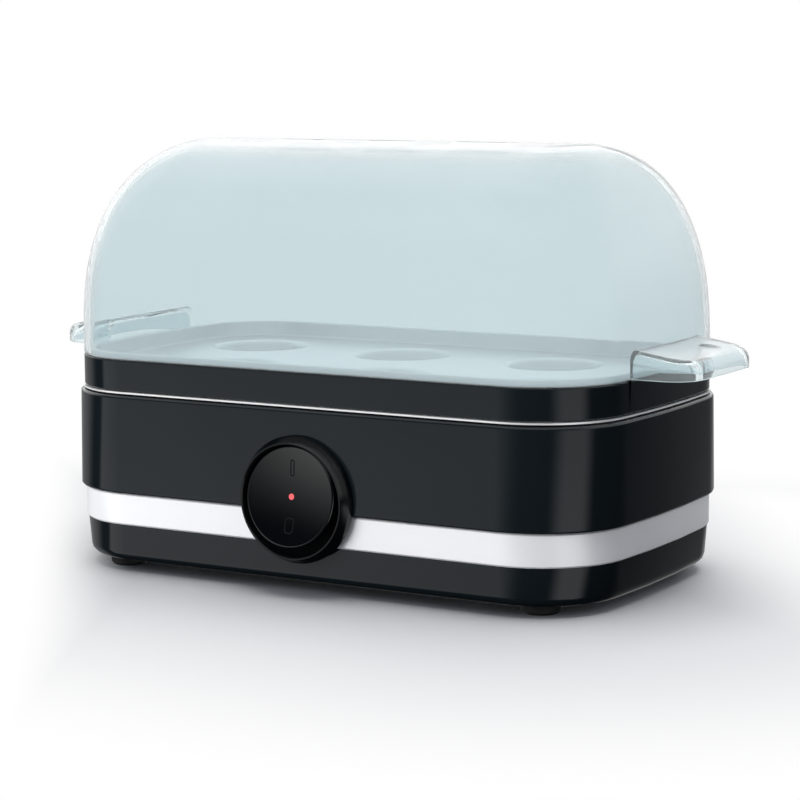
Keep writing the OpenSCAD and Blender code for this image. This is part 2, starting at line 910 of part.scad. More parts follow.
// Pan-head screw, head up, with its head's seat at height z
module screw_down(x, y, z, length, r, head_r, head_h) {
    translate([0, 0, 2 * z])
        mirror([0, 0, 1])
            screw_up(x, y, z, length, r, head_r, head_h);
}

module clamp_screws() {
    color([0.6, 0.6, 0.62])
        for (sx = [-1, 1])
            screw_down(
                gland_x + sx * clamp_dx, clamp_y, z_clamp + bar_t, bar_t + clamp_screw_bite, pilot_r,
                screw_head_r - 0.2, small_head_h
            );
}

block_x = gland_x;
block_y = body_b - 20;
block_screw_dx = 9;
z_block = z_plate_top + 4;
block_w = 26;
block_d = 13;
block_h = 12;
block_floor = 4;
block_screw_l = 8;

module terminal_block() {
    color([0.88, 0.87, 0.82])
        difference() {
            translate([block_x - block_w / 2, block_y - block_d / 2, z_block])
                cube([block_w, block_d, block_h]);
            for (sx = [-1, 1]) {
                x = block_x + sx * block_screw_dx;
                post(x, block_y, z_block - 1, z_block + block_h, screw_r + fit_gap);
                post(x, block_y, z_block + block_floor, z_block + block_h + 1, screw_head_r + fit_gap);
            }
        }
}

module block_screws() {
    color([0.6, 0.6, 0.62])
        for (sx = [-1, 1])
            screw_down(
                block_x + sx * block_screw_dx, block_y, z_block + block_floor, block_screw_l, pilot_r,
                screw_head_r, small_head_h
            );
}

// --- Internal leads ---

lead_r = 1.1;
lead_steps = 14;
lead_sides = 8;

function unit(v) = v / norm(v);
function bezier(p, t) =
    p[0] * pow(1 - t, 3) + 3 * p[1] * t * pow(1 - t, 2) + 3 * p[2] * t * t * (1 - t) + p[3] * pow(t, 3);
function bezier_slope(p, t) =
    (p[1] - p[0]) * pow(1 - t, 2) + 2 * (p[2] - p[1]) * t * (1 - t) + (p[3] - p[2]) * t * t;

// Round tube along a cubic curve through four control points
module lead(p) {
    loft([
        for (i = [0:lead_steps])
            let (
                t = i / lead_steps,
                forward = unit(bezier_slope(p, t)),
                side = unit(cross(forward, [0.35, 0.2, 1])),
                up = cross(forward, side)
            )
            [for (k = [0:lead_sides - 1])
                let (a = 360 * k / lead_sides)
                    bezier(p, t) + lead_r * (cos(a) * side + sin(a) * up)]
    ]);
}

prong_end_y = -body_b + neck_len + switch_depth + prong_l;
blade_end_z = z_thermostat - thermostat_h - blade_h / 2;
blade_side_x = blade_x + tab_t / 2;
tab_end_y = cold_y + tab_l;
tab_z = z_cold - pin_drop - tab_t / 2;
block_top = z_block + block_h;
block_front_y = block_y - block_d / 2;
// Straight reach of a lead out of its terminal, and the wider bend past the clamp
lead_dx = 6;
lead_reach = 14;
lead_rise = 6;
lead_bend_x = 37;
lead_bend_y = 24;

module internal_leads() {
    low = switch_z - prong_y;
    high = switch_z + prong_y;
    // Block to switch, switch to thermostat, thermostat to element, and element back to block
    color([0.75, 0.1, 0.08])
        lead([
            [block_x - lead_dx, block_front_y, z_block + block_h / 2],
            [block_x - lead_dx, block_front_y - lead_reach, z_block + block_h / 2],
            [-prong_x, prong_end_y + lead_reach, low],
            [-prong_x, prong_end_y, low]
        ]);
    color([0.75, 0.1, 0.08])
        lead([
            [prong_x, prong_end_y, high],
            [prong_x, prong_end_y + lead_reach, high],
            [blade_side_x + lead_reach, 0, blade_end_z],
            [blade_side_x, 0, blade_end_z]
        ]);
    color([0.75, 0.1, 0.08])
        lead([
            [-blade_side_x, 0, blade_end_z],
            [-blade_side_x - lead_bend_x, 0, blade_end_z],
            [-cold_x, tab_end_y + lead_bend_y, tab_z],
            [-cold_x, tab_end_y, tab_z]
        ]);
    color([0.12, 0.25, 0.6])
        lead([
            [block_x, block_y, block_top],
            [block_x, block_y, block_top + lead_rise],
            [cold_x, tab_end_y + lead_reach, tab_z],
            [cold_x, tab_end_y, tab_z]
        ]);
}

// --- Egg tray ---

// Half of the shift that staggers the rows
seat_shift = row_stagger / 2;

function seat_centres() = [
    for (row = [-1, 1])
        for (i = [-1:1])
            [i * egg_pitch - row * seat_shift, row * row_pitch / 2]
];

notch_w = 1.8;
notch_depth = 0.9;

module egg_tray() {
    inner = lip_setback + tray_wall;
    deck_t = tray_wall;
    color([0.09, 0.09, 0.1])
        difference() {
            union() {
                wall(ring_setback, ring_setback + tray_wall + 0.6, z_skirt, z_ring);
                wall(ring_setback + 0.5, inner, z_ring - 1.8, z_ring);
                wall(lip_setback, inner, z_deck - deck_t, z_ring + lip_h);
                sheet(inner - 0.3, z_deck - deck_t, z_deck);
                for (c = seat_centres())
                    translate([c[0], c[1], z_deck - seat_depth])
                        cylinder(r1 = seat_throat_r + tray_wall, r2 = seat_r + tray_wall, h = seat_depth);
            }
            for (c = seat_centres())
                translate([c[0], c[1], z_deck - seat_depth])
                    seat_bore();
            for (sx = [-1, 1])
                for (sy = [-1, 1])
                    translate([sx * lid_a - notch_depth * 2, sy * handle_w / 2, z_ring])
                        rotate([90, 0, 90])
                            linear_extrude(notch_depth * 4)
                                polygon([[-notch_w / 2, 0.01], [0, -skirt_h], [notch_w / 2, 0.01]]);
        }
}

// Tapered bore of one egg seat, from its open bottom to the deck
module seat_bore() {
    slope = (seat_r - seat_throat_r) / seat_depth;
    translate([0, 0, -1])
        cylinder(r1 = seat_throat_r - slope, r2 = seat_r + slope, h = seat_depth + 2);
}

// --- Lid ---

z_end_curve = z_lid_top - end_rise;
z_crown = z_lid_top - crown_rise;
crown_steps = 9;
// Angle of the crown's last slice, which leaves a narrow flat along the ridge
crown_end = 88.5;

// Half length and half depth of the lid's slice at height z, under a wall t
function lid_half_length(z, t) =
    let (up = max(0, z - z_end_curve) / (end_rise - t))
        lid_a - end_lean + (end_lean - t) * sqrt(max(0, 1 - up * up));
function lid_half_depth(z, t) =
    let (up = max(0, z - z_crown) / (crown_rise - t))
        (lid_b - t) * pow(max(0, 1 - pow(up, crown_power)), 1 / crown_power);
function lid_slice(z, t) =
    let (
        b = lid_half_depth(z, t),
        full = corner_r - ring_setback - t,
        r = min(full * pow(b / (lid_b - t), corner_power), b - 0.5)
    )
    at_height(oblong(lid_half_length(z, t), b, r, end_bow_r), z);

// Heights of the slices: the straight wall, the start of each curve, then even steps to the ridge
function lid_levels(t) = concat(
    [z_lid, z_end_curve, (z_end_curve + z_crown) / 2, z_crown],
    [for (i = [1:crown_steps])
        z_crown + (crown_rise - t) * pow(sin(crown_end * i / crown_steps), 2 / crown_power)]
);

module lid_shell() {
    inner = lid_levels(lid_wall);
    outer = lid_levels(0);
    m = len(inner);
    loft(concat(
        [for (i = [m - 1:-1:0]) lid_slice(inner[i], lid_wall)],
        [for (z = outer) lid_slice(z, 0)]
    ));
}

// Solid tab for the right-hand handle, set back on every free side
module handle_tab(set, z0) {
    root = lid_a - lid_wall * 0.8 + (set > 0 ? lid_wall * 0.8 + 0.4 : 0);
    tip = lid_a + handle_reach - set;
    half = handle_w / 2 - set;
    r = handle_corner_r - set;
    e = handle_edge_r;
    slope = handle_fall / handle_reach;
    function plan(i) = concat(
        [[root, -half + i]],
        arc(tip - r, -half + r, r - i, 270, 360, 5),
        arc(tip - r, half - r, r - i, 0, 90, 5),
        [[root, half - i]]
    );
    function top(x) = z_lid + handle_h - set - slope * (x - lid_a);
    loft(concat(
        [at_height(plan(0), z0)],
        [for (i = [0:edge_steps])
            let (a = i * 90 / edge_steps)
                [for (p = plan(e * (1 - cos(a)))) [p[0], p[1], top(p[0]) - e * (1 - sin(a))]]]
    ));
}

module lid_handle() {
    difference() {
        handle_tab(0, z_lid);
        handle_tab(handle_wall, z_lid - 1);
        translate([lid_a + handle_reach * 0.6, 8.5, z_lid + handle_h - handle_fall * 0.6 - 0.6])
            cylinder(r = dimple_d / 2, h = 5);
    }
}

// Upright slot-shaped solid for each steam vent
module vents(w, z0, z1) {
    for (i = [0:vent_count - 1])
        translate([(i - (vent_count - 1) / 2) * vent_pitch, 0, z0])
            hull()
                for (sx = [-1, 1])
                    translate([sx * (vent_length - vent_width) / 2, 0, 0])
                        cylinder(r = w / 2, h = z1 - z0, $fn = 16);
}

module lid() {
    z_roof = z_lid_top - lid_wall;
    color([0.78, 0.86, 0.89, 0.5])
        difference() {
            union() {
                lid_shell();
                lid_handle();
                mirror([1, 0, 0])
                    lid_handle();
                vents(vent_width + 2 * vent_rim, z_roof - vent_rim, z_roof + lid_wall / 2);
            }
            vents(vent_width, z_roof - vent_rim - 1, z_lid_top + 1);
        }
}

rubber_feet();
bottom_plate();
base_housing();
trim_band();
main_housing();
body_screws();
heating_basin();
heating_plate();
heating_element();
element_terminals();
heater_studs();
heat_shield();
stud_nuts();
thermostat();
thermostat_bracket();
bracket_screws();
thermal_fuse();
switch_bezel();
switch_body();
switch_terminals();
rocker_pin();
rocker();
indicator_lens();
indicator_lamp();
cord_gland();
cord_clamp();
clamp_screws();
terminal_block();
block_screws();
internal_leads();
egg_tray();
lid();
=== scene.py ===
"""Egg cooker: smooth shells, finishes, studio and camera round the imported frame."""

import json
import math

import bmesh
import bpy
from mathutils import Matrix, Vector


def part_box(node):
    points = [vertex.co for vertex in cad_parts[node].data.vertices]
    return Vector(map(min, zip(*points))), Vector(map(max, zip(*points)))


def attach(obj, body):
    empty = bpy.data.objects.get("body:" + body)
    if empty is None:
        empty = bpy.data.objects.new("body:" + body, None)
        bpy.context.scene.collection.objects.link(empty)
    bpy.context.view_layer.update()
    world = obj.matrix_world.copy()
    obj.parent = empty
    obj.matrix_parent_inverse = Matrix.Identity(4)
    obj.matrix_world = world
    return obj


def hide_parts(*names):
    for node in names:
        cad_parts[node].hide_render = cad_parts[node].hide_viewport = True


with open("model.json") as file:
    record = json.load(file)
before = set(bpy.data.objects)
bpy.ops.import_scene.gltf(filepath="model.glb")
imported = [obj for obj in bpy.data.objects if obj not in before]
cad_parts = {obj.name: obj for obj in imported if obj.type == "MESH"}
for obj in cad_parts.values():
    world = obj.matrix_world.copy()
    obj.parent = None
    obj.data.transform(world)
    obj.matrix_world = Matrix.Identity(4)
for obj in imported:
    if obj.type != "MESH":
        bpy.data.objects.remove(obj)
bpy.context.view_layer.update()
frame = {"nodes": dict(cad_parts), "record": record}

MM = 0.001

# --- Driving sizes, in millimetres and degrees, and counts of steps ---

CORNER_R = 29.2
END_BOW_R = 358.0
CORNER_STEPS = 20
END_STEPS = 8
SHARP_ANGLE = 34
WELD_DISTANCE = 0.002

LID_WALL = 2.0
LID_END_LEAN = 27.5
LID_END_RISE = 60.0
LID_CROWN_RISE = 51.0
LID_CROWN_POWER = 2.5
LID_CROWN_END = 88.5
LID_CROWN_STEPS = 26
LID_CORNER_POWER = 0.57
LID_RIDGE_FLAT = 0.5
LID_RIM_R = 0.5
LID_RIM_STEPS = 4

HANDLE_W = 49.2
HANDLE_H = 8.2
HANDLE_FALL = 2.8
HANDLE_WALL = 1.8
HANDLE_CORNER_R = 9.0
HANDLE_CORNER_STEPS = 10
HANDLE_EDGE_R = 3.0
HANDLE_EDGE_STEPS = 6
HANDLE_ROOT = 0.8 * LID_WALL
HOLLOW_ROOT = 0.9 * LID_WALL
HOLLOW_CUT_BELOW = 1.0

DIMPLE_R = 3.5
DIMPLE_DEPTH = 0.4
DIMPLE_Y = 8.5
DIMPLE_REACH = 0.6
DIMPLE_CUT_R = 1.4 * DIMPLE_R
DIMPLE_CUT_H = 4.0
DIMPLE_RINGS = 10
DIMPLE_STEPS = 48

VENT_COUNT = 3
VENT_PITCH = 32.0
VENT_LENGTH = 17.0
VENT_WIDTH = 2.4
VENT_RIM = 1.2
VENT_CUT_BELOW = 3.0
VENT_CUT_ABOVE = 2.0
VENT_STEPS = 12

EGG_PITCH = 55.0
ROW_PITCH = 44.0
ROW_STAGGER = 18.5
SEAT_R = 14.9
SEAT_THROAT_R = 12.4
SEAT_DEPTH = 7.0
SEAT_FILLET = 2.0
SEAT_EASE = 1.6
SEAT_EASE_STEPS = 6
SEAT_EDGE_R = 0.5
SEAT_EDGE_IN = 0.6
SEAT_EDGE_OUT = 0.4
SEAT_EDGE_STEPS = 3
SEAT_STEPS = 72

TRAY_WALL = 1.8
DECK_DROP = 3.1
LIP_H = 2.0
LIFT_GAP = 0.3
INSERT_EDGE_R = 0.6
INSERT_ROOT_STEPS = 4
INSERT_TOP_STEPS = 5
SKIRT_H = 9.7
SKIRT_WALL = 2.4
FRAME_EDGE_R = 0.5
FRAME_EDGE_STEPS = 4
NOTCH_W = 1.8
NOTCH_DEPTH = 0.9
NOTCH_CUT_ABOVE = 0.5

PIVOT = Vector((0, -48.9, 29.2))
PIVOT_ARM = 11.45
TILT = math.radians(7.5)
ROCKER_R = 15.4
ROCKER_T = 1.7
ROCKER_BACK_R = 0.5
ROCKER_EASE = 0.3
ROCKER_EASE_KNEE = 0.1
ROCKER_EDGE_R = 0.7
ROCKER_EDGE_STEPS = 8
ROCKER_STEPS = 96
DISH_R = 100.0
DISH_MARGIN = 0.9
DISH_SUNK = 0.05
DISH_FIRST_R = 14.2
DISH_RING_PITCH = 0.6
DISH_RINGS = 22
HUB_W = 15.0
HUB_H = 10.0
HUB_BACK = 4.0
HUB_OVERLAP = 0.3
HUB_CORNER_R = 0.8
HUB_CORNER_STEPS = 3

LENS_R = 0.95
LENS_CLEARANCE = 0.06
LENS_SUNK = 0.2
LENS_TAIL = 0.6
LENS_SHOULDER = 0.2
LENS_TOP = 0.32
LENS_DOME = 0.12
LENS_RINGS = (0.85, 0.6, 0.35, 0.12)
LENS_STEPS = 32
LENS_WELL_IN = 0.05
LENS_WELL_DEPTH = 0.25

MARK_LINE = 0.4
MARK_SLOPE = 0.13
MARK_PROUD = 0.15
MARK_SUNK = 0.2
MARK_MIN_R = 0.05
MARK_STEPS = 6
# Width, height, height above the rocker's centre and corner radius
MARK_ON = (1.5, 5.0, 8.6, 0.5)
MARK_OFF = (3.3, 4.9, -8.7, 1.2)

WELL_MATT_R = 16.95
WELL_GLOSS_R = 17.1


def corner(node, high):
    """A corner of a CAD node's box, in millimetres."""
    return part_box(node)[1 if high else 0] / MM


housing_hi = corner("main_housing", True)
tray_hi = corner("egg_tray", True)
lid_lo = corner("lid", False)
lid_hi = corner("lid", True)

body_a = housing_hi.x
body_b = housing_hi.y
lid_a = tray_hi.x
lid_b = tray_hi.y
ring_setback = body_a - lid_a
lip_setback = ring_setback + LID_WALL + LIFT_GAP
z_ring = lid_lo.z - LIFT_GAP
z_deck = z_ring - DECK_DROP
z_skirt = z_ring - SKIRT_H


# --- Outlines ---


def arc(x, y, r, start, end, steps, first=0):
    """Points on an arc, angles in degrees."""
    angles = [math.radians(start + (end - start) * i / steps) for i in range(first, steps + 1)]
    return [(x + r * math.cos(t), y + r * math.sin(t)) for t in angles]


def circle(x, y, r, steps):
    """Points round a full circle."""
    return arc(x, y, r, 0, 360 - 360 / steps, steps - 1)


def oblong(a, b, r, bow=END_BOW_R):
    """Rounded oblong with bowed ends, counter-clockwise."""
    yc = b - r
    xb = a - bow
    xc = xb + math.sqrt((bow - r) ** 2 - yc * yc)
    t = math.degrees(math.atan2(yc, xc - xb))
    last = 270 + (90 - t) * (CORNER_STEPS - 1) / CORNER_STEPS
    return (
        arc(xb, 0, bow, -t, t, END_STEPS)
        + arc(xc, yc, r, t, 90, CORNER_STEPS, 1)
        + arc(-xc, yc, r, 90, 180 - t, CORNER_STEPS)
        + arc(-xb, 0, bow, 180 - t, 180 + t, END_STEPS, 1)
        + arc(-xc, -yc, r, 180 + t, 270, CORNER_STEPS, 1)
        + arc(xc, -yc, r, 270, last, CORNER_STEPS - 1)
    )


def rounded_rectangle(w, h, r, steps):
    """Rectangle round the origin with rounded corners, counter-clockwise."""
    points = []
    for sx, sy, start in ((1, 1, 0), (-1, 1, 90), (-1, -1, 180), (1, -1, 270)):
        points += arc(sx * (w / 2 - r), sy * (h / 2 - r), r, start, start + 90, steps)
    return points


def outline(setback):
    """The body's outline, set back by a distance."""
    return oblong(body_a - setback, body_b - setback, CORNER_R - setback)


def at_height(points, z):
    """Flat points raised to a height."""
    return [(x, y, z) for x, y in points]


# --- Mesh helpers ---


def add_ring(bm, points):
    """Adds points given in millimetres as vertices."""
    return [bm.verts.new(Vector(p) * MM) for p in points]


def bridge(bm, lower, upper):
    """Quads between two closed rings with the same number of vertices."""
    n = len(lower)
    for i in range(n):
        k = (i + 1) % n
        bm.faces.new((lower[i], lower[k], upper[k], upper[i]))


def bridge_all(bm, rings, join_ends=False):
    """Quads between each ring and the next, and from the last to the first on request."""
    for lower, upper in zip(rings, rings[1:]):
        bridge(bm, lower, upper)
    if join_ends:
        bridge(bm, rings[-1], rings[0])


def loop_edges(ring):
    """The edges that join the vertices of a closed ring in turn."""
    edges = []
    for i, v in enumerate(ring):
        w = ring[(i + 1) % len(ring)]
        edges += [e for e in v.link_edges if e.other_vert(v) is w]
    return edges


def mesh_object(name, bm):
    """Turns a bmesh into an object with faces turned outwards. The bmesh is used up."""
    bmesh.ops.recalc_face_normals(bm, faces=bm.faces)
    mesh = bpy.data.meshes.new(name)
    bm.to_mesh(mesh)
    bm.free()
    piece = bpy.data.objects.new(name, mesh)
    bpy.context.scene.collection.objects.link(piece)
    return piece


def capped_loft(name, rings):
    """Closed solid through rings, with a flat face over each end."""
    bm = bmesh.new()
    rows = [add_ring(bm, ring) for ring in rings]
    bridge_all(bm, rows)
    bm.faces.new(rows[0])
    bm.faces.new(rows[-1])
    return mesh_object(name, bm)


def cut_or_join(piece, other, operation):
    """Boolean between two solids. The second one is used up."""
    modifier = piece.modifiers.new("boolean", "BOOLEAN")
    modifier.object = other
    modifier.operation = operation
    modifier.solver = "EXACT"
    bpy.context.view_layer.update()
    graph = bpy.context.evaluated_depsgraph_get()
    made = bpy.data.meshes.new_from_object(piece.evaluated_get(graph))
    piece.modifiers.remove(modifier)
    old = piece.data
    piece.data = made
    bpy.data.meshes.remove(old)
    bpy.data.objects.remove(other)


def weld_and_smooth_group():
    """Geometry nodes that weld a mesh and shade it smooth except over its sharp edges."""
    group = bpy.data.node_groups.new("weld_and_smooth", "GeometryNodeTree")
    group.interface.new_socket("Geometry", in_out="INPUT", socket_type="NodeSocketGeometry")
    group.interface.new_socket("Geometry", in_out="OUTPUT", socket_type="NodeSocketGeometry")
    start = group.nodes.new("NodeGroupInput")
    weld = group.nodes.new("GeometryNodeMergeByDistance")
    weld.inputs["Distance"].default_value = WELD_DISTANCE * MM
    angle = group.nodes.new("GeometryNodeInputMeshEdgeAngle")
    is_sharp = group.nodes.new("FunctionNodeCompare")
    is_sharp.operation = "GREATER_THAN"
    is_sharp.inputs[1].default_value = math.radians(SHARP_ANGLE)
    mark = group.nodes.new("GeometryNodeStoreNamedAttribute")
    mark.data_type = "BOOLEAN"
    mark.domain = "EDGE"
    mark.inputs["Name"].default_value = "sharp_edge"
    smooth = group.nodes.new("GeometryNodeSetShadeSmooth")
    end = group.nodes.new("NodeGroupOutput")
    link = group.links.new
    link(start.outputs[0], weld.inputs["Geometry"])
    link(weld.outputs["Geometry"], mark.inputs["Geometry"])
    link(angle.outputs["Unsigned Angle"], is_sharp.inputs[0])
    link(is_sharp.outputs["Result"], mark.inputs["Value"])
    link(mark.outputs["Geometry"], smooth.inputs["Geometry"])
    link(smooth.outputs["Geometry"], end.inputs[0])
    return group


smooth_group = weld_and_smooth_group()


def shade(piece):
    """Smooth shading in which large faces keep their own normals."""
    piece.modifiers.new("smooth", "NODES").node_group = smooth_group
    weighted = piece.modifiers.new("weighted", "WEIGHTED_NORMAL")
    weighted.mode = "FACE_AREA"
    weighted.weight = 100
    weighted.keep_sharp = True


# --- Lid ---


def lid_slice(z, t):
    """The lid's outline at a height, under a wall of thickness t."""
    z_end = lid_hi.z - LID_END_RISE
    z_crown = lid_hi.z - LID_CROWN_RISE
    up = max(0.0, z - z_end) / (LID_END_RISE - t)
    a = lid_a - LID_END_LEAN + (LID_END_LEAN - t) * math.sqrt(max(0.0, 1 - up * up))
    up = min(1.0, max(0.0, z - z_crown) / (LID_CROWN_RISE - t))
    b = (lid_b - t) * (1 - up**LID_CROWN_POWER) ** (1 / LID_CROWN_POWER)
    full = CORNER_R - ring_setback - t
    r = min(full * (b / (lid_b - t)) ** LID_CORNER_POWER, b - LID_RIDGE_FLAT)
    return at_height(oblong(a, b, r), z)


def lid_levels(t):
    """Heights of the slices, from the straight wall to the ridge."""
    z_end = lid_hi.z - LID_END_RISE
    z_crown = lid_hi.z - LID_CROWN_RISE
    low = [z_end, (z_end + z_crown) / 2, z_crown]
    rise = LID_CROWN_RISE - t
    angles = [math.radians(LID_CROWN_END * i / LID_CROWN_STEPS) for i in range(1, LID_CROWN_STEPS + 1)]
    return low + [z_crown + rise * math.sin(u) ** (2 / LID_CROWN_POWER) for u in angles]


def rim_slices(inner):
    """Half of the rounded lower rim of the lid's wall, the inner or the outer one."""
    middle = LID_WALL - LID_RIM_R if inner else LID_RIM_R
    start, end = (0, -90) if inner else (-90, -180)
    z = lid_lo.z + LID_RIM_R
    made = []
    for dx, dz in arc(0, 0, LID_RIM_R, start, end, LID_RIM_STEPS):
        setback = ring_setback + middle + dx
        made.append(at_height(outline(setback), z + dz))
    return made


def lid_hood():
    """Shell without handles and vents, lofted down the inside and up the outside."""
    inner = [lid_slice(z, LID_WALL) for z in lid_levels(LID_WALL)]
    outer = [lid_slice(z, 0) for z in lid_levels(0)]
    return capped_loft("lid", inner[::-1] + rim_slices(True) + rim_slices(False) + outer)


def handle_tab(inset, z0, root):
    """Solid tab of the right-hand handle, set back on every free side."""
    tip = lid_hi.x - inset
    half = HANDLE_W / 2 - inset
    r = HANDLE_CORNER_R - inset
    slope = HANDLE_FALL / (lid_hi.x - lid_a)

    def plan(i):
        return (
            [(root, -half + i)]
            + arc(tip - r, -half + r, r - i, 270, 360, HANDLE_CORNER_STEPS)
            + arc(tip - r, half - r, r - i, 0, 90, HANDLE_CORNER_STEPS)
            + [(root, half - i)]
        )

    def top(x):
        return lid_lo.z + HANDLE_H - inset - slope * (x - lid_a)

    rings = [at_height(plan(0), z0)]
    for i in range(HANDLE_EDGE_STEPS + 1):
        t = math.radians(90 * i / HANDLE_EDGE_STEPS)
        side = HANDLE_EDGE_R * (1 - math.cos(t))
        drop = HANDLE_EDGE_R * (1 - math.sin(t))
        rings.append([(x, y, top(x) - drop) for x, y in plan(side)])
    return capped_loft("handle_tab", rings)


def dimple_cutter(x, y, z):
    """Ball-ended cutter with its lowest point at a height."""
    ball_r = (DIMPLE_R**2 + DIMPLE_DEPTH**2) / (2 * DIMPLE_DEPTH)
    rings = []
    for i in range(1, DIMPLE_RINGS + 1):
        r = DIMPLE_CUT_R * i / DIMPLE_RINGS
        ring = circle(x, y, r, DIMPLE_STEPS)
        rings.append(at_height(ring, z + ball_r - math.sqrt(ball_r**2 - r * r)))
    rings.append(at_height(ring, z + DIMPLE_CUT_H))
    return capped_loft("dimple", rings)


def vent_slot(x, w, z0, z1):
    """Upright solid with the plan of a vent, w wide."""
    half = (VENT_LENGTH - VENT_WIDTH) / 2
    right = arc(x + half, 0, w / 2, -90, 90, VENT_STEPS)
    left = arc(x - half, 0, w / 2, 90, 270, VENT_STEPS)
    return capped_loft("vent", [at_height(right + left, z0), at_height(right + left, z1)])


def turned_about(piece):
    """The same solid at the other end, mirrored in X."""
    piece.data.transform(Matrix.Scale(-1, 4, (1, 0, 0)))
    piece.data.flip_normals()
    return piece


def add_handle(hood, mirrored):
    """Joins a hollow handle with a dimple to one end of the hood."""
    tab = handle_tab(0, lid_lo.z, lid_a - HANDLE_ROOT)
    hollow = handle_tab(HANDLE_WALL, lid_lo.z - HOLLOW_CUT_BELOW, lid_a - HOLLOW_ROOT)
    cut_or_join(tab, hollow, "DIFFERENCE")
    z_dimple = lid_lo.z + HANDLE_H - DIMPLE_REACH * HANDLE_FALL - DIMPLE_DEPTH
    x_dimple = lid_a + DIMPLE_REACH * (lid_hi.x - lid_a)
    cut_or_join(tab, dimple_cutter(x_dimple, DIMPLE_Y, z_dimple), "DIFFERENCE")
    cut_or_join(hood, turned_about(tab) if mirrored else tab, "UNION")


def add_vent(hood, x):
    """Cuts a slot through the roof, with a rim below it."""
    z_roof = lid_hi.z - LID_WALL
    rim = vent_slot(x, VENT_WIDTH + 2 * VENT_RIM, z_roof - VENT_RIM, z_roof + LID_WALL / 2)
    cut_or_join(hood, rim, "UNION")
    slot = vent_slot(x, VENT_WIDTH, z_roof - VENT_CUT_BELOW, lid_hi.z + VENT_CUT_ABOVE)
    cut_or_join(hood, slot, "DIFFERENCE")


def make_lid():
    """Clear hood with a handle at each end and a row of vents."""
    hood = lid_hood()
    for mirrored in (False, True):
        add_handle(hood, mirrored)
    for i in range(VENT_COUNT):
        add_vent(hood, (i - (VENT_COUNT - 1) / 2) * VENT_PITCH)
    hood.name = "lid_hood"
    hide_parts("lid")
    return hood


# --- Egg tray ---


def seat_centres():
    """Middles of the six seats, the two rows staggered."""
    return [
        (i * EGG_PITCH - row * ROW_STAGGER / 2, row * ROW_PITCH / 2)
        for row in (-1, 1)
        for i in (-1, 0, 1)
    ]


def frame_section():
    """Setbacks and heights round the tray's black frame, a closed loop."""
    r = FRAME_EDGE_R
    z_under = z_deck - TRAY_WALL
    inner = ring_setback + SKIRT_WALL
    return (
        [(lip_setback, z_under), (lip_setback, z_ring)]
        + arc(ring_setback + r, z_ring - r, r, 90, 180, FRAME_EDGE_STEPS)
        + arc(ring_setback + r, z_skirt + r, r, 180, 270, FRAME_EDGE_STEPS)
        + [(inner, z_skirt), (inner, z_under)]
    )


def insert_section():
    """Setbacks and heights up the inside of the insert's rim and down its outside."""
    inner = lip_setback + TRAY_WALL
    top = z_ring + LIP_H
    r = INSERT_EDGE_R
    return (
        arc(inner + r, z_deck + r, r, -90, -180, INSERT_ROOT_STEPS)
        + arc(inner - r, top - r, r, 0, 90, INSERT_TOP_STEPS)
        + arc(lip_setback + r, top - r, r, 90, 180, INSERT_TOP_STEPS)
        + [(lip_setback, z_deck - TRAY_WALL)]
    )


def seat_profile():
    """Radii and heights down the bore of a seat and up its outside to the deck."""
    slope = (SEAT_R - SEAT_THROAT_R) / SEAT_DEPTH
    z_edge = z_deck - SEAT_DEPTH + SEAT_EDGE_R
    start = Vector((SEAT_R + SEAT_FILLET, z_deck))
    knee = Vector((SEAT_R, z_deck))
    end = Vector((SEAT_R - slope * SEAT_EASE, z_deck - SEAT_EASE))
    lip = []
    for i in range(SEAT_EASE_STEPS + 1):
        t = i / SEAT_EASE_STEPS
        lip.append(start * (1 - t) ** 2 + knee * 2 * t * (1 - t) + end * t * t)
    bottom = arc(SEAT_THROAT_R + SEAT_EDGE_IN, z_edge, SEAT_EDGE_R, 180, 270, SEAT_EDGE_STEPS)
    r_outer = SEAT_THROAT_R + TRAY_WALL - SEAT_EDGE_OUT
    outer = arc(r_outer, z_edge, SEAT_EDGE_R, 270, 360, SEAT_EDGE_STEPS)
    high = (SEAT_R + TRAY_WALL - slope * TRAY_WALL, z_deck - TRAY_WALL)
    return [tuple(p) for p in lip] + bottom + outer + [high]


def notch_cutter(side, y):
    """Tapered wedge across the frame's skirt beside a handle."""
    half = NOTCH_W / 2
    bow = END_BOW_R - ring_setback
    skin = lid_a - bow + math.sqrt(bow * bow - y * y)
    z_top = z_ring + NOTCH_CUT_ABOVE
    rings = []
    for x in (side * (skin - NOTCH_DEPTH), side * (skin + NOTCH_DEPTH)):
        rings.append([(x, y - half, z_top), (x, y, z_skirt), (x, y + half, z_top)])
    return capped_loft("notch", rings)


def make_tray_frame():
    """Black frame with a notch on each side of both handles."""
    bm = bmesh.new()
    rings = [add_ring(bm, at_height(outline(s), z)) for s, z in frame_section()]
    bridge_all(bm, rings, join_ends=True)
    piece = mesh_object("tray_frame", bm)
    for side in (-1, 1):
        for y in (-HANDLE_W / 2, HANDLE_W / 2):
            cut_or_join(piece, notch_cutter(side, y), "DIFFERENCE")
    return piece


def make_tray_insert():
    """Pale deck with a rim round it and six seats in it."""
    bm = bmesh.new()
    edge = [add_ring(bm, at_height(outline(s), z)) for s, z in insert_section()]
    bridge_all(bm, edge)
    tops, bottoms = [edge[0]], [edge[-1]]
    for x, y in seat_centres():
        rows = [add_ring(bm, at_height(circle(x, y, r, SEAT_STEPS), z)) for r, z in seat_profile()]
        bridge_all(bm, rows)
        tops.append(rows[0])
        bottoms.append(rows[-1])
    for loops in (tops, bottoms):
        edges = [e for ring in loops for e in loop_edges(ring)]
        bmesh.ops.triangle_fill(bm, use_beauty=True, edges=edges, normal=(0, 0, 1))
    return mesh_object("tray_insert", bm)


# --- Switch ---


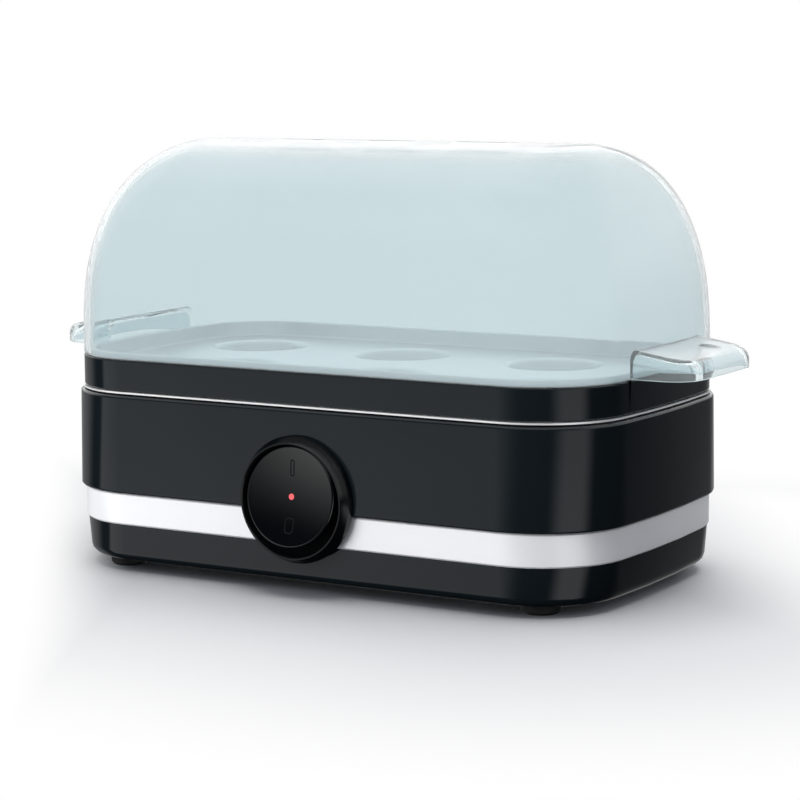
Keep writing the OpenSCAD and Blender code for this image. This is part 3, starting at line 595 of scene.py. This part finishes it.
def dish(r):
    """Height of the rocker's hollow face above its pivot, at a distance from its centre."""
    flat = ROCKER_R - DISH_MARGIN
    return PIVOT_ARM - DISH_SUNK - (flat * flat - min(r, flat) ** 2) / (2 * DISH_R)


def on_rocker(x, y, z):
    """A point of the rocker's own frame, with its top pressed in, in the part's frame."""
    forward = z * math.cos(TILT) - y * math.sin(TILT)
    upward = z * math.sin(TILT) + y * math.cos(TILT)
    return PIVOT + Vector((x, -forward, upward))


def turned_piece(name, profile, steps):
    """Solid of revolution about the rocker's axis, closed at both ends."""
    bm = bmesh.new()
    rings = []
    for r, z in profile:
        rings.append(add_ring(bm, [on_rocker(x, y, z) for x, y in circle(0, 0, r, steps)]))
    bridge_all(bm, rings)
    bm.faces.new(rings[0])
    bm.faces.new(rings[-1])
    return mesh_object(name, bm)


def rocker_profile():
    """Radii and heights from the cap's back round its rim to the lens well."""
    back = PIVOT_ARM - ROCKER_T
    rim = [
        (ROCKER_BACK_R, back),
        (ROCKER_R - ROCKER_EASE, back),
        (ROCKER_R - ROCKER_EASE_KNEE, back + ROCKER_EASE_KNEE),
        (ROCKER_R, back + ROCKER_EASE),
    ]
    r = ROCKER_EDGE_R
    edge = arc(ROCKER_R - r, PIVOT_ARM - r, r, 0, 90, ROCKER_EDGE_STEPS)
    radii = [DISH_FIRST_R - DISH_RING_PITCH * i for i in range(DISH_RINGS)] + [LENS_R]
    well = (LENS_R - LENS_WELL_IN, dish(LENS_R) - LENS_WELL_DEPTH)
    return rim + edge + [(r, dish(r)) for r in radii] + [well]


def make_rocker():
    """Round rocker cap with a hollow face, on its hub."""
    cap = turned_piece("rocker_cap", rocker_profile(), ROCKER_STEPS)
    plan = rounded_rectangle(HUB_W, HUB_H, HUB_CORNER_R, HUB_CORNER_STEPS)
    ends = (-HUB_BACK, PIVOT_ARM - ROCKER_T + HUB_OVERLAP)
    hub = capped_loft("hub", [[on_rocker(x, y, z) for x, y in plan] for z in ends])
    cut_or_join(cap, hub, "UNION")
    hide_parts("rocker")
    return cap


def make_lens():
    """Low domed lens in the rocker's middle."""
    z = dish(LENS_R) - LENS_SUNK
    r_wall = LENS_R - LENS_CLEARANCE
    wall = [(r_wall, z - LENS_TAIL), (r_wall, z + LENS_SHOULDER)]
    dome = [(r, z + LENS_TOP - LENS_DOME * (r / LENS_R) ** 2) for r in LENS_RINGS]
    lens = turned_piece("indicator_dome", wall + dome, LENS_STEPS)
    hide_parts("indicator_lens")
    return lens


def make_mark(name, w, h, y0, radius):
    """Outlined mark with sloping sides, standing just proud of the rocker's face."""
    bm = bmesh.new()
    rings = []
    for inset, lift in (
        (0, -MARK_SUNK),
        (0, 0),
        (MARK_SLOPE, MARK_PROUD),
        (MARK_LINE - MARK_SLOPE, MARK_PROUD),
        (MARK_LINE, 0),
        (MARK_LINE, -MARK_SUNK),
    ):
        r = max(MARK_MIN_R, radius - inset)
        points = rounded_rectangle(w - 2 * inset, h - 2 * inset, r, MARK_STEPS)
        moved = [(x, y + y0) for x, y in points]
        rings.append(add_ring(bm, [on_rocker(x, y, dish(math.hypot(x, y)) + lift) for x, y in moved]))
    bridge_all(bm, rings, join_ends=True)
    return mesh_object(name, bm)


# --- Shader helpers ---


def math_node(tree, operation, a, b=None):
    """Result of a sum on numbers or sockets."""
    node = tree.nodes.new("ShaderNodeMath")
    node.operation = operation
    for socket, value in zip(node.inputs, (a, b)):
        if value is None:
            continue
        if isinstance(value, (int, float)):
            socket.default_value = value
        else:
            tree.links.new(value, socket)
    return node.outputs[0]


def vector_node(tree, operation, value, other=(0, 0, 0)):
    """Result of a sum on a vector socket and a fixed vector."""
    node = tree.nodes.new("ShaderNodeVectorMath")
    node.operation = operation
    tree.links.new(value, node.inputs[0])
    node.inputs[1].default_value = other
    is_number = operation in ("LENGTH", "DOT_PRODUCT")
    return node.outputs["Value" if is_number else "Vector"]


def step_up(tree, value, start, end):
    """Smooth rise from 0 at start to 1 at end."""
    node = tree.nodes.new("ShaderNodeMapRange")
    node.interpolation_type = "SMOOTHSTEP"
    node.inputs["From Min"].default_value = min(start, end)
    node.inputs["From Max"].default_value = max(start, end)
    node.inputs["To Min"].default_value = 0 if start < end else 1
    node.inputs["To Max"].default_value = 1 if start < end else 0
    tree.links.new(value, node.inputs["Value"])
    return node.outputs["Result"]


def mixed(tree, factor, a, b):
    """Colour between a and b, each of them a colour or a socket."""
    mix = tree.nodes.new("ShaderNodeMix")
    mix.data_type = "RGBA"
    for key, colour in (("A", a), ("B", b)):
        if isinstance(colour, tuple):
            mix.inputs[key].default_value = (*colour, 1)
        else:
            tree.links.new(colour, mix.inputs[key])
    tree.links.new(factor, mix.inputs["Factor"])
    return mix.outputs["Result"]


def looked_at(tree, path):
    """1 for what the camera sees, by itself or through something clear."""
    return math_node(
        tree, "MAXIMUM", path.outputs["Is Camera Ray"], path.outputs["Is Transmission Ray"]
    )


# --- Materials ---

NOISE_LOW = 0.3
NOISE_HIGH = 0.7

WHITE = (1, 1, 1)
BLACK = (0.0048, 0.0076, 0.0098)
SWITCH_BLACK = (0.0012, 0.0018, 0.0024)
MARK_BLACK = (0.007, 0.008, 0.009)
BAND_WHITE = (0.90, 0.91, 0.935)
PALE_STEEL = (0.9, 0.91, 0.92)
LID_TINT = (0.79, 0.865, 0.88)
LID_TINT_DEEP = (0.77, 0.85, 0.87)
# Painted highlight on the lid: the paler colour that its rims turn to, and the facing range over which
# that colour comes in
LID_PAINTED_RIM = (0.99, 0.995, 1.0)
LID_PAINTED_RIM_RANGE = (0.58, 0.9)
LAMP_RED = (0.5, 0.02, 0.02)
LAMP_GLOW = (0.64, 0.14, 0.16, 1)


class Finish:
    """Builds one procedural material round a Principled shader."""

    def __init__(self, name):
        self.material = bpy.data.materials.new(name)
        self.material.use_nodes = True
        self.tree = self.material.node_tree
        self.shader = self.tree.nodes["Principled BSDF"]
        self.place = self.tree.nodes.new("ShaderNodeTexCoord")

    def node(self, kind, **values):
        made = self.tree.nodes.new(kind)
        for key, value in values.items():
            made.inputs[key].default_value = value
        return made

    def link(self, out, into):
        self.tree.links.new(out, into)

    def noise(self, scale, detail=3.0, stretch=(1, 1, 1), rough=0.5):
        """Noise over the piece, as many features per metre as scale says."""
        mapping = self.node("ShaderNodeMapping", Scale=stretch)
        noise = self.node("ShaderNodeTexNoise", Scale=scale, Detail=detail, Roughness=rough)
        self.link(self.place.outputs["Object"], mapping.inputs["Vector"])
        self.link(mapping.outputs["Vector"], noise.inputs["Vector"])
        return noise.outputs["Fac"]

    def spread(self, value, low, high):
        """Noise mapped onto a range of numbers."""
        remap = self.tree.nodes.new("ShaderNodeMapRange")
        remap.inputs["From Min"].default_value = NOISE_LOW
        remap.inputs["From Max"].default_value = NOISE_HIGH
        remap.inputs["To Min"].default_value = low
        remap.inputs["To Max"].default_value = high
        self.link(value, remap.inputs["Value"])
        return remap.outputs["Result"]

    def colours(self, value, dark, light):
        """Noise mapped between two colours of the base."""
        colour = mixed(self.tree, self.spread(value, 0, 1), dark, light)
        self.link(colour, self.shader.inputs["Base Color"])

    def roughness(self, value, low, high):
        """Noise mapped between two roughnesses."""
        self.link(self.spread(value, low, high), self.shader.inputs["Roughness"])

    def painted_rim_highlight(self, colour, start, end):
        """Painted highlight: mixes the base towards a paler colour where the surface turns away from
        the view, so that the rims look lit.
        """
        facing = self.node("ShaderNodeLayerWeight", Blend=0.5).outputs["Facing"]
        base = self.shader.inputs["Base Color"]
        edge = step_up(self.tree, facing, start, end)
        self.link(mixed(self.tree, edge, base.links[0].from_socket, colour), base)

    def bump(self, value, strength, distance):
        """Relief too fine for the mesh, with its depth in millimetres."""
        bump = self.node("ShaderNodeBump", Strength=strength, Distance=distance * MM)
        self.link(value, bump.inputs["Height"])
        self.link(bump.outputs["Normal"], self.shader.inputs["Normal"])

    def set(self, **values):
        """Constants straight on the shader's sockets, with _ for a space in their names."""
        for key, value in values.items():
            self.shader.inputs[key.replace("_", " ")].default_value = value
        return self


def scaled(colour, k):
    """A colour made k times as bright, as far as white."""
    return tuple(min(1.0, c * k) for c in colour)


def moulded(name, colour, rough, grain=900, bump=0.03, tone=0.12):
    """Injection-moulded plastic: a fine skin, faint flow marks and uneven gloss."""
    f = Finish(name)
    f.colours(f.noise(14, 4), scaled(colour, 1 - tone), scaled(colour, 1 + tone))
    f.roughness(f.noise(45, 5), rough * 0.85, rough * 1.15)
    f.bump(f.noise(grain, 2), bump, 0.05)
    return f


def sheet_metal(name, colour, rough, stretch=(4, 180, 180), bump=0.08, tone=0.06):
    """Rolled or brushed metal with streaks along one axis."""
    f = Finish(name)
    f.set(Metallic=0.75)
    streaks = f.noise(26, 6, stretch, 0.6)
    f.colours(streaks, scaled(colour, 1 - tone), scaled(colour, 1 + tone))
    f.roughness(streaks, rough * (1 - 2 * tone), rough * (1 + 2 * tone))
    f.bump(streaks, bump, 0.03)
    return f


def cast_metal(name, colour, rough, grain=420):
    """Cast or plated metal with a grainy skin and darker stains."""
    f = Finish(name)
    f.set(Metallic=1.0)
    f.colours(f.noise(60, 6), scaled(colour, 0.72), scaled(colour, 1.08))
    f.roughness(f.noise(180, 4), rough * 0.8, rough * 1.3)
    f.bump(f.noise(grain, 5), 0.35, 0.08)
    return f


def rubber(name, colour):
    """Dull rubber with a coarse skin."""
    f = moulded(name, colour, 0.62, grain=1400, bump=0.35, tone=0.2)
    return f.set(Specular_IOR_Level=0.35)


def basin_steel(name):
    """Pale sheet steel with fine, faint streaks."""
    f = sheet_metal(name, PALE_STEEL, 0.3, stretch=(3, 120, 120), bump=0.01, tone=0.03)
    return f.set(Metallic=0.5)


def clear_plastic(name):
    """Clear styrene hood with a faint cool tint, a painted highlight that makes its rims paler, and a
    barely uneven surface.
    """
    f = Finish(name)
    f.set(Transmission_Weight=0.95, IOR=1.2, Sheen_Weight=0.9, Sheen_Roughness=0.35)
    f.colours(f.noise(9, 2), LID_TINT_DEEP, LID_TINT)
    # Painted highlight: the tint turns paler where the hood turns away from the view
    f.painted_rim_highlight(LID_PAINTED_RIM, *LID_PAINTED_RIM_RANGE)
    f.roughness(f.noise(30, 3), 0.0, 0.03)
    f.bump(f.noise(22, 1), 0.02, 0.2)
    return f


def lit_lens(name):
    """Red lens with the lamp on behind it."""
    f = moulded(name, LAMP_RED, 0.12, grain=1200, bump=0.02)
    return f.set(Emission_Color=LAMP_GLOW, Emission_Strength=1.0)


def bezel_finish(name):
    """Gloss black ring that is matt down in its well, where little light gets."""
    f = moulded(name, SWITCH_BLACK, 0.16, bump=0.02)
    f.set(Specular_IOR_Level=0.45)
    flat = vector_node(f.tree, "MULTIPLY", f.place.outputs["Object"], (1, 0, 1))
    from_axis = vector_node(f.tree, "SUBTRACT", flat, (0, 0, PIVOT.z * MM))
    distance = vector_node(f.tree, "LENGTH", from_axis)
    well = step_up(f.tree, distance, WELL_GLOSS_R * MM, WELL_MATT_R * MM)
    rough = f.shader.inputs["Roughness"]
    f.link(math_node(f.tree, "MAXIMUM", rough.links[0].from_socket, well), rough)
    return f


def mark_finish(name):
    """Black without gloss, so that the marks stand out from the rocker's face."""
    return moulded(name, MARK_BLACK, 0.6, bump=0.02).set(Specular_IOR_Level=0.15)


FINISHES = {
    "feet_rubber": lambda n: rubber(n, (0.012, 0.012, 0.013)),
    "bottom_plastic": lambda n: moulded(n, (0.016, 0.017, 0.019), 0.45, grain=700, bump=0.3),
    "housing_black": lambda n: moulded(n, BLACK, 0.09),
    "trim_white": lambda n: moulded(n, BAND_WHITE, 0.35, 700, 0.02, tone=0.01).set(Metallic=0.3),
    "screw_steel": lambda n: cast_metal(n, (0.55, 0.55, 0.57), 0.32, grain=900),
    "basin_steel": basin_steel,
    "cast_aluminium": lambda n: cast_metal(n, (0.62, 0.62, 0.64), 0.45),
    "element_sheath": lambda n: cast_metal(n, (0.22, 0.21, 0.2), 0.5, grain=700),
    "terminal_brass": lambda n: sheet_metal(n, (0.72, 0.52, 0.2), 0.28),
    "shield_steel": lambda n: sheet_metal(n, (0.58, 0.58, 0.59), 0.36),
    "phenolic": lambda n: moulded(n, (0.055, 0.026, 0.014), 0.38, grain=600, bump=0.25, tone=0.4),
    "fuse_ceramic": lambda n: moulded(n, (0.72, 0.69, 0.6), 0.5, bump=0.3, tone=0.06),
    "switch_black": lambda n: moulded(n, SWITCH_BLACK, 0.1, bump=0.02).set(Specular_IOR_Level=1.0),
    "lens_red": lit_lens,
    "lamp_clear": lambda n: moulded(n, (0.9, 0.6, 0.5), 0.06).set(Transmission_Weight=0.9),
    "gland_rubber": lambda n: rubber(n, (0.015, 0.015, 0.017)),
    "block_plastic": lambda n: moulded(n, (0.7, 0.68, 0.6), 0.42, grain=600, bump=0.2, tone=0.05),
    "lead_insulation": lambda n: moulded(n, (0.42, 0.03, 0.025), 0.4, grain=1500, bump=0.2),
    "tray_black": lambda n: moulded(n, BLACK, 0.1),
    "lid_clear": clear_plastic,
}


def give(piece, material):
    """Puts one material on a piece in place of what it had."""
    piece.data.materials.clear()
    piece.data.materials.append(material)


# --- Studio, in metres and degrees ---

CAMERA_AT = (0.409648, -0.683749, 0.163477)
# In radians
CAMERA_YAW = 0.537
CAMERA_PITCH = 0.1386
CAMERA_ROLL = -0.0065
# In millimetres
CAMERA_LENS = 114.64
CAMERA_SENSOR = 36
CAMERA_CLIP = (0.05, 50)

# Azimuth, elevation, distance, size, and level on a facing white surface
KEY_LAMP = (-16, 24, 1.4, 0.9, 1.06)
TOP_LAMP = (150, 84, 1.5, 1.3, 0.66)
LAMP_TINT = (1, 0.985, 0.965)
LAMP_TARGET = Vector((0, 0, 0.05))

# What reflections see, by degrees round from the front (-Y) towards +X, and by degrees up.
# A pair is where a level starts to rise and where it is full.
LEFT_BOX = ((-70, -63), (4, -48), 0.62)
RIGHT_BOX = ((34, 56), (92, 74), 0.68)
BOX_TOP = (12, -14)
BOX_FOOT = (-44, -32)
BOX_GAIN = 1.2
BEHIND_LEFT = ((-80, -100), 0.3)
BEHIND_RIGHT = ((128, 182), 0.16)
OVERHEAD_UP = (35, 60)
OVERHEAD_ROUND = (60, 100)
OVERHEAD_LEVEL = 0.6
BACKDROP_UP = (-3, 10)
BACKDROP_ROUND = (55, 100)
CEILING_UP = (24, 42)
CEILING_LEVEL = 0.8
FLOOR_DARK = (-44, -30)
LEAST_LEVEL = 0.01

FILL_LEVEL = 0.30
FILL_TINT = (0.90, 0.96, 1.08)

FLOOR_SIZE = 12.0
FLOOR_TONE = (0.94, 0.94, 0.945)
FLOOR_BOUNCE = (0.5, 0.5, 0.52)
FLOOR_ROUGH = 0.9
# Shares of the body's half length and half depth, round which the floor keeps its shadow
FADE_CORE = (0.7, 0.5)
FADE = (0.03, 0.20)
SIDE_AXIS = (0.8, 0.6, 0)
SIDE_FADES = ((-0.083, -0.116), (0.08, 0.15))
SIDE_FADE_FRONT = (0.30, 0.15)


def make_camera():
    """Camera fitted to the photo's view."""
    data = bpy.data.cameras.new("camera")
    data.sensor_width = CAMERA_SENSOR
    data.lens = CAMERA_LENS
    data.clip_start, data.clip_end = CAMERA_CLIP
    camera = bpy.data.objects.new("camera", data)
    bpy.context.scene.collection.objects.link(camera)
    sy, cy = math.sin(CAMERA_YAW), math.cos(CAMERA_YAW)
    sp, cp = math.sin(CAMERA_PITCH), math.cos(CAMERA_PITCH)
    forward = Vector((-sy * cp, cy * cp, -sp))
    right = Vector((cy, sy, 0))
    up = right.cross(forward)
    roll = Matrix.Rotation(CAMERA_ROLL, 3, "Z")
    facing = Matrix((right, up, -forward)).transposed() @ roll
    camera.matrix_world = Matrix.Translation(CAMERA_AT) @ facing.to_4x4()
    bpy.context.scene.camera = camera


def area_light(name, azimuth, elevation, distance, size, level):
    """Square lamp aimed at the object. Only the surfaces that it lights show it."""
    data = bpy.data.lights.new(name, "AREA")
    data.shape = "SQUARE"
    data.size = size
    data.energy = level * math.pi**2 * distance**2
    data.color = LAMP_TINT
    lamp = bpy.data.objects.new(name, data)
    bpy.context.scene.collection.objects.link(lamp)
    a, e = math.radians(azimuth), math.radians(elevation)
    back = Vector((math.sin(a) * math.cos(e), -math.cos(a) * math.cos(e), math.sin(e)))
    lamp.location = LAMP_TARGET + back * distance
    lamp.rotation_mode = "QUATERNION"
    lamp.rotation_quaternion = back.to_track_quat("Z", "Y")
    lamp.visible_glossy = False
    lamp.visible_transmission = False
    lamp.visible_camera = False
    return lamp


def leave_out(lamp, piece):
    """Keeps a lamp off one object, so that it throws no shadow there."""
    group = bpy.data.collections.new(lamp.name + "_receivers")
    group.objects.link(piece)
    group.collection_objects[0].light_linking.link_state = "EXCLUDE"
    lamp.light_linking.receiver_collection = group


def reflected_studio(tree):
    """Levels of the soft boxes, backdrop and ceiling that reflections see."""
    place = tree.nodes.new("ShaderNodeTexCoord")
    split = tree.nodes.new("ShaderNodeSeparateXYZ")
    tree.links.new(place.outputs["Generated"], split.inputs[0])
    x, y, z = split.outputs

    def plus(a, b):
        return math_node(tree, "ADD", a, b)

    def times(a, b):
        return math_node(tree, "MULTIPLY", a, b)

    def most(a, b):
        return math_node(tree, "MAXIMUM", a, b)

    bearing = times(math_node(tree, "ARCTAN2", x, times(y, -1)), 180 / math.pi)
    height = times(math_node(tree, "ARCSINE", z), 180 / math.pi)
    around = math_node(tree, "ABSOLUTE", bearing)

    def round_by(pair):
        return step_up(tree, bearing, *pair)

    def up_by(pair):
        return step_up(tree, height, *pair)

    def either_way_by(pair):
        return step_up(tree, around, *pair)

    def soft_box(left, right, level):
        return times(times(round_by(left), round_by(right)), level)

    boxes = plus(soft_box(*LEFT_BOX), soft_box(*RIGHT_BOX))
    boxes = times(times(boxes, times(up_by(BOX_TOP), up_by(BOX_FOOT))), BOX_GAIN)
    behind = plus(*(times(round_by(pair), level) for pair, level in (BEHIND_LEFT, BEHIND_RIGHT)))
    overhead = times(times(up_by(OVERHEAD_UP), either_way_by(OVERHEAD_ROUND)), OVERHEAD_LEVEL)
    backdrop = times(up_by(BACKDROP_UP), either_way_by(BACKDROP_ROUND))
    above = most(overhead, most(backdrop, times(up_by(CEILING_UP), CEILING_LEVEL)))
    total = plus(plus(boxes, behind), above)
    return plus(times(total, up_by(FLOOR_DARK)), LEAST_LEVEL)


def make_world():
    """White for the camera, the studio for reflections, and an even fill for the rest."""
    world = bpy.data.worlds.new("studio")
    bpy.context.scene.world = world
    world.use_nodes = True
    tree = world.node_tree
    tree.nodes.clear()
    path = tree.nodes.new("ShaderNodeLightPath")
    is_glossy = path.outputs["Is Glossy Ray"]
    past_clear = math_node(tree, "GREATER_THAN", path.outputs["Transmission Depth"], 0.5)
    white = math_node(tree, "MAXIMUM", looked_at(tree, path), past_clear)
    reflected = math_node(tree, "MULTIPLY", is_glossy, reflected_studio(tree))
    fill = math_node(tree, "MULTIPLY", math_node(tree, "SUBTRACT", 1, is_glossy), FILL_LEVEL)
    strength = math_node(tree, "MAXIMUM", white, math_node(tree, "ADD", reflected, fill))
    untinted = math_node(tree, "MAXIMUM", white, is_glossy)
    background = tree.nodes.new("ShaderNodeBackground")
    tree.links.new(mixed(tree, untinted, FILL_TINT, WHITE), background.inputs["Color"])
    tree.links.new(strength, background.inputs["Strength"])
    output = tree.nodes.new("ShaderNodeOutputWorld")
    tree.links.new(background.outputs[0], output.inputs["Surface"])


def floor_fade(tree):
    """0 round the object, where the floor shows its shadow, and 1 where it is plain white."""
    at = tree.nodes.new("ShaderNodeTexCoord").outputs["Object"]
    core = (body_a * MM * FADE_CORE[0], body_b * MM * FADE_CORE[1], 0)
    past_core = vector_node(tree, "SUBTRACT", vector_node(tree, "ABSOLUTE", at), core)
    outside = vector_node(tree, "LENGTH", vector_node(tree, "MAXIMUM", past_core))
    fade = step_up(tree, outside, *FADE)
    sideways = vector_node(tree, "DOT_PRODUCT", at, SIDE_AXIS)
    split = tree.nodes.new("ShaderNodeSeparateXYZ")
    tree.links.new(at, split.inputs[0])
    in_front = step_up(tree, split.outputs["Y"], *SIDE_FADE_FRONT)
    for pair in SIDE_FADES:
        side = math_node(tree, "MULTIPLY", step_up(tree, sideways, *pair), in_front)
        fade = math_node(tree, "MAXIMUM", fade, side)
    return fade


def make_floor():
    """Pale floor that turns into the white backdrop away from the object."""
    bm = bmesh.new()
    half = FLOOR_SIZE / 2
    corners = [(-half, -half), (half, -half), (half, half), (-half, half)]
    bm.faces.new([bm.verts.new((x, y, 0)) for x, y in corners])
    floor = mesh_object("floor", bm)
    material = bpy.data.materials.new("floor")
    material.use_nodes = True
    tree = material.node_tree
    shader = tree.nodes["Principled BSDF"]
    path = tree.nodes.new("ShaderNodeLightPath")
    tone = mixed(tree, looked_at(tree, path), FLOOR_BOUNCE, FLOOR_TONE)
    tree.links.new(tone, shader.inputs["Base Color"])
    shader.inputs["Roughness"].default_value = FLOOR_ROUGH
    shader.inputs["Specular IOR Level"].default_value = 0.0
    white = tree.nodes.new("ShaderNodeEmission")
    mix = tree.nodes.new("ShaderNodeMixShader")
    tree.links.new(floor_fade(tree), mix.inputs[0])
    tree.links.new(shader.outputs[0], mix.inputs[1])
    tree.links.new(white.outputs[0], mix.inputs[2])
    tree.links.new(mix.outputs[0], tree.nodes["Material Output"].inputs["Surface"])
    give(floor, material)
    floor.visible_glossy = False
    return floor


# --- Assembly ---

materials = {slot: build(slot).material for slot, build in FINISHES.items()}
bezel_material = bezel_finish("bezel_black").material
mark_material = mark_finish("mark_black").material
slot_of = {row["node"]: row["material_slot"] for row in frame["record"]["subparts"]}
for node, piece in frame["nodes"].items():
    give(piece, bezel_material if node == "switch_bezel" else materials[slot_of[node]])
    shade(piece)

tray_frame = make_tray_frame()
tray_insert = make_tray_insert()
for piece in (tray_frame, tray_insert):
    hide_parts("egg_tray")

for piece, body, slot in (
    (make_lid(), "hood", "lid_clear"),
    (tray_frame, "tray", "tray_black"),
    (tray_insert, "tray", "basin_steel"),
    (make_rocker(), "switch_rocker", "switch_black"),
    (make_lens(), "switch_rocker", "lens_red"),
    (make_mark("switch_mark_on", *MARK_ON), "switch_rocker", "switch_black"),
    (make_mark("switch_mark_off", *MARK_OFF), "switch_rocker", "switch_black"),
):
    give(piece, mark_material if piece.name.startswith("switch_mark") else materials[slot])
    shade(piece)
    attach(piece, body)

make_camera()
make_world()
floor = make_floor()
key = area_light("key", *KEY_LAMP)
leave_out(key, floor)
area_light("top", *TOP_LAMP)
bpy.context.scene.view_settings.view_transform = "Standard"
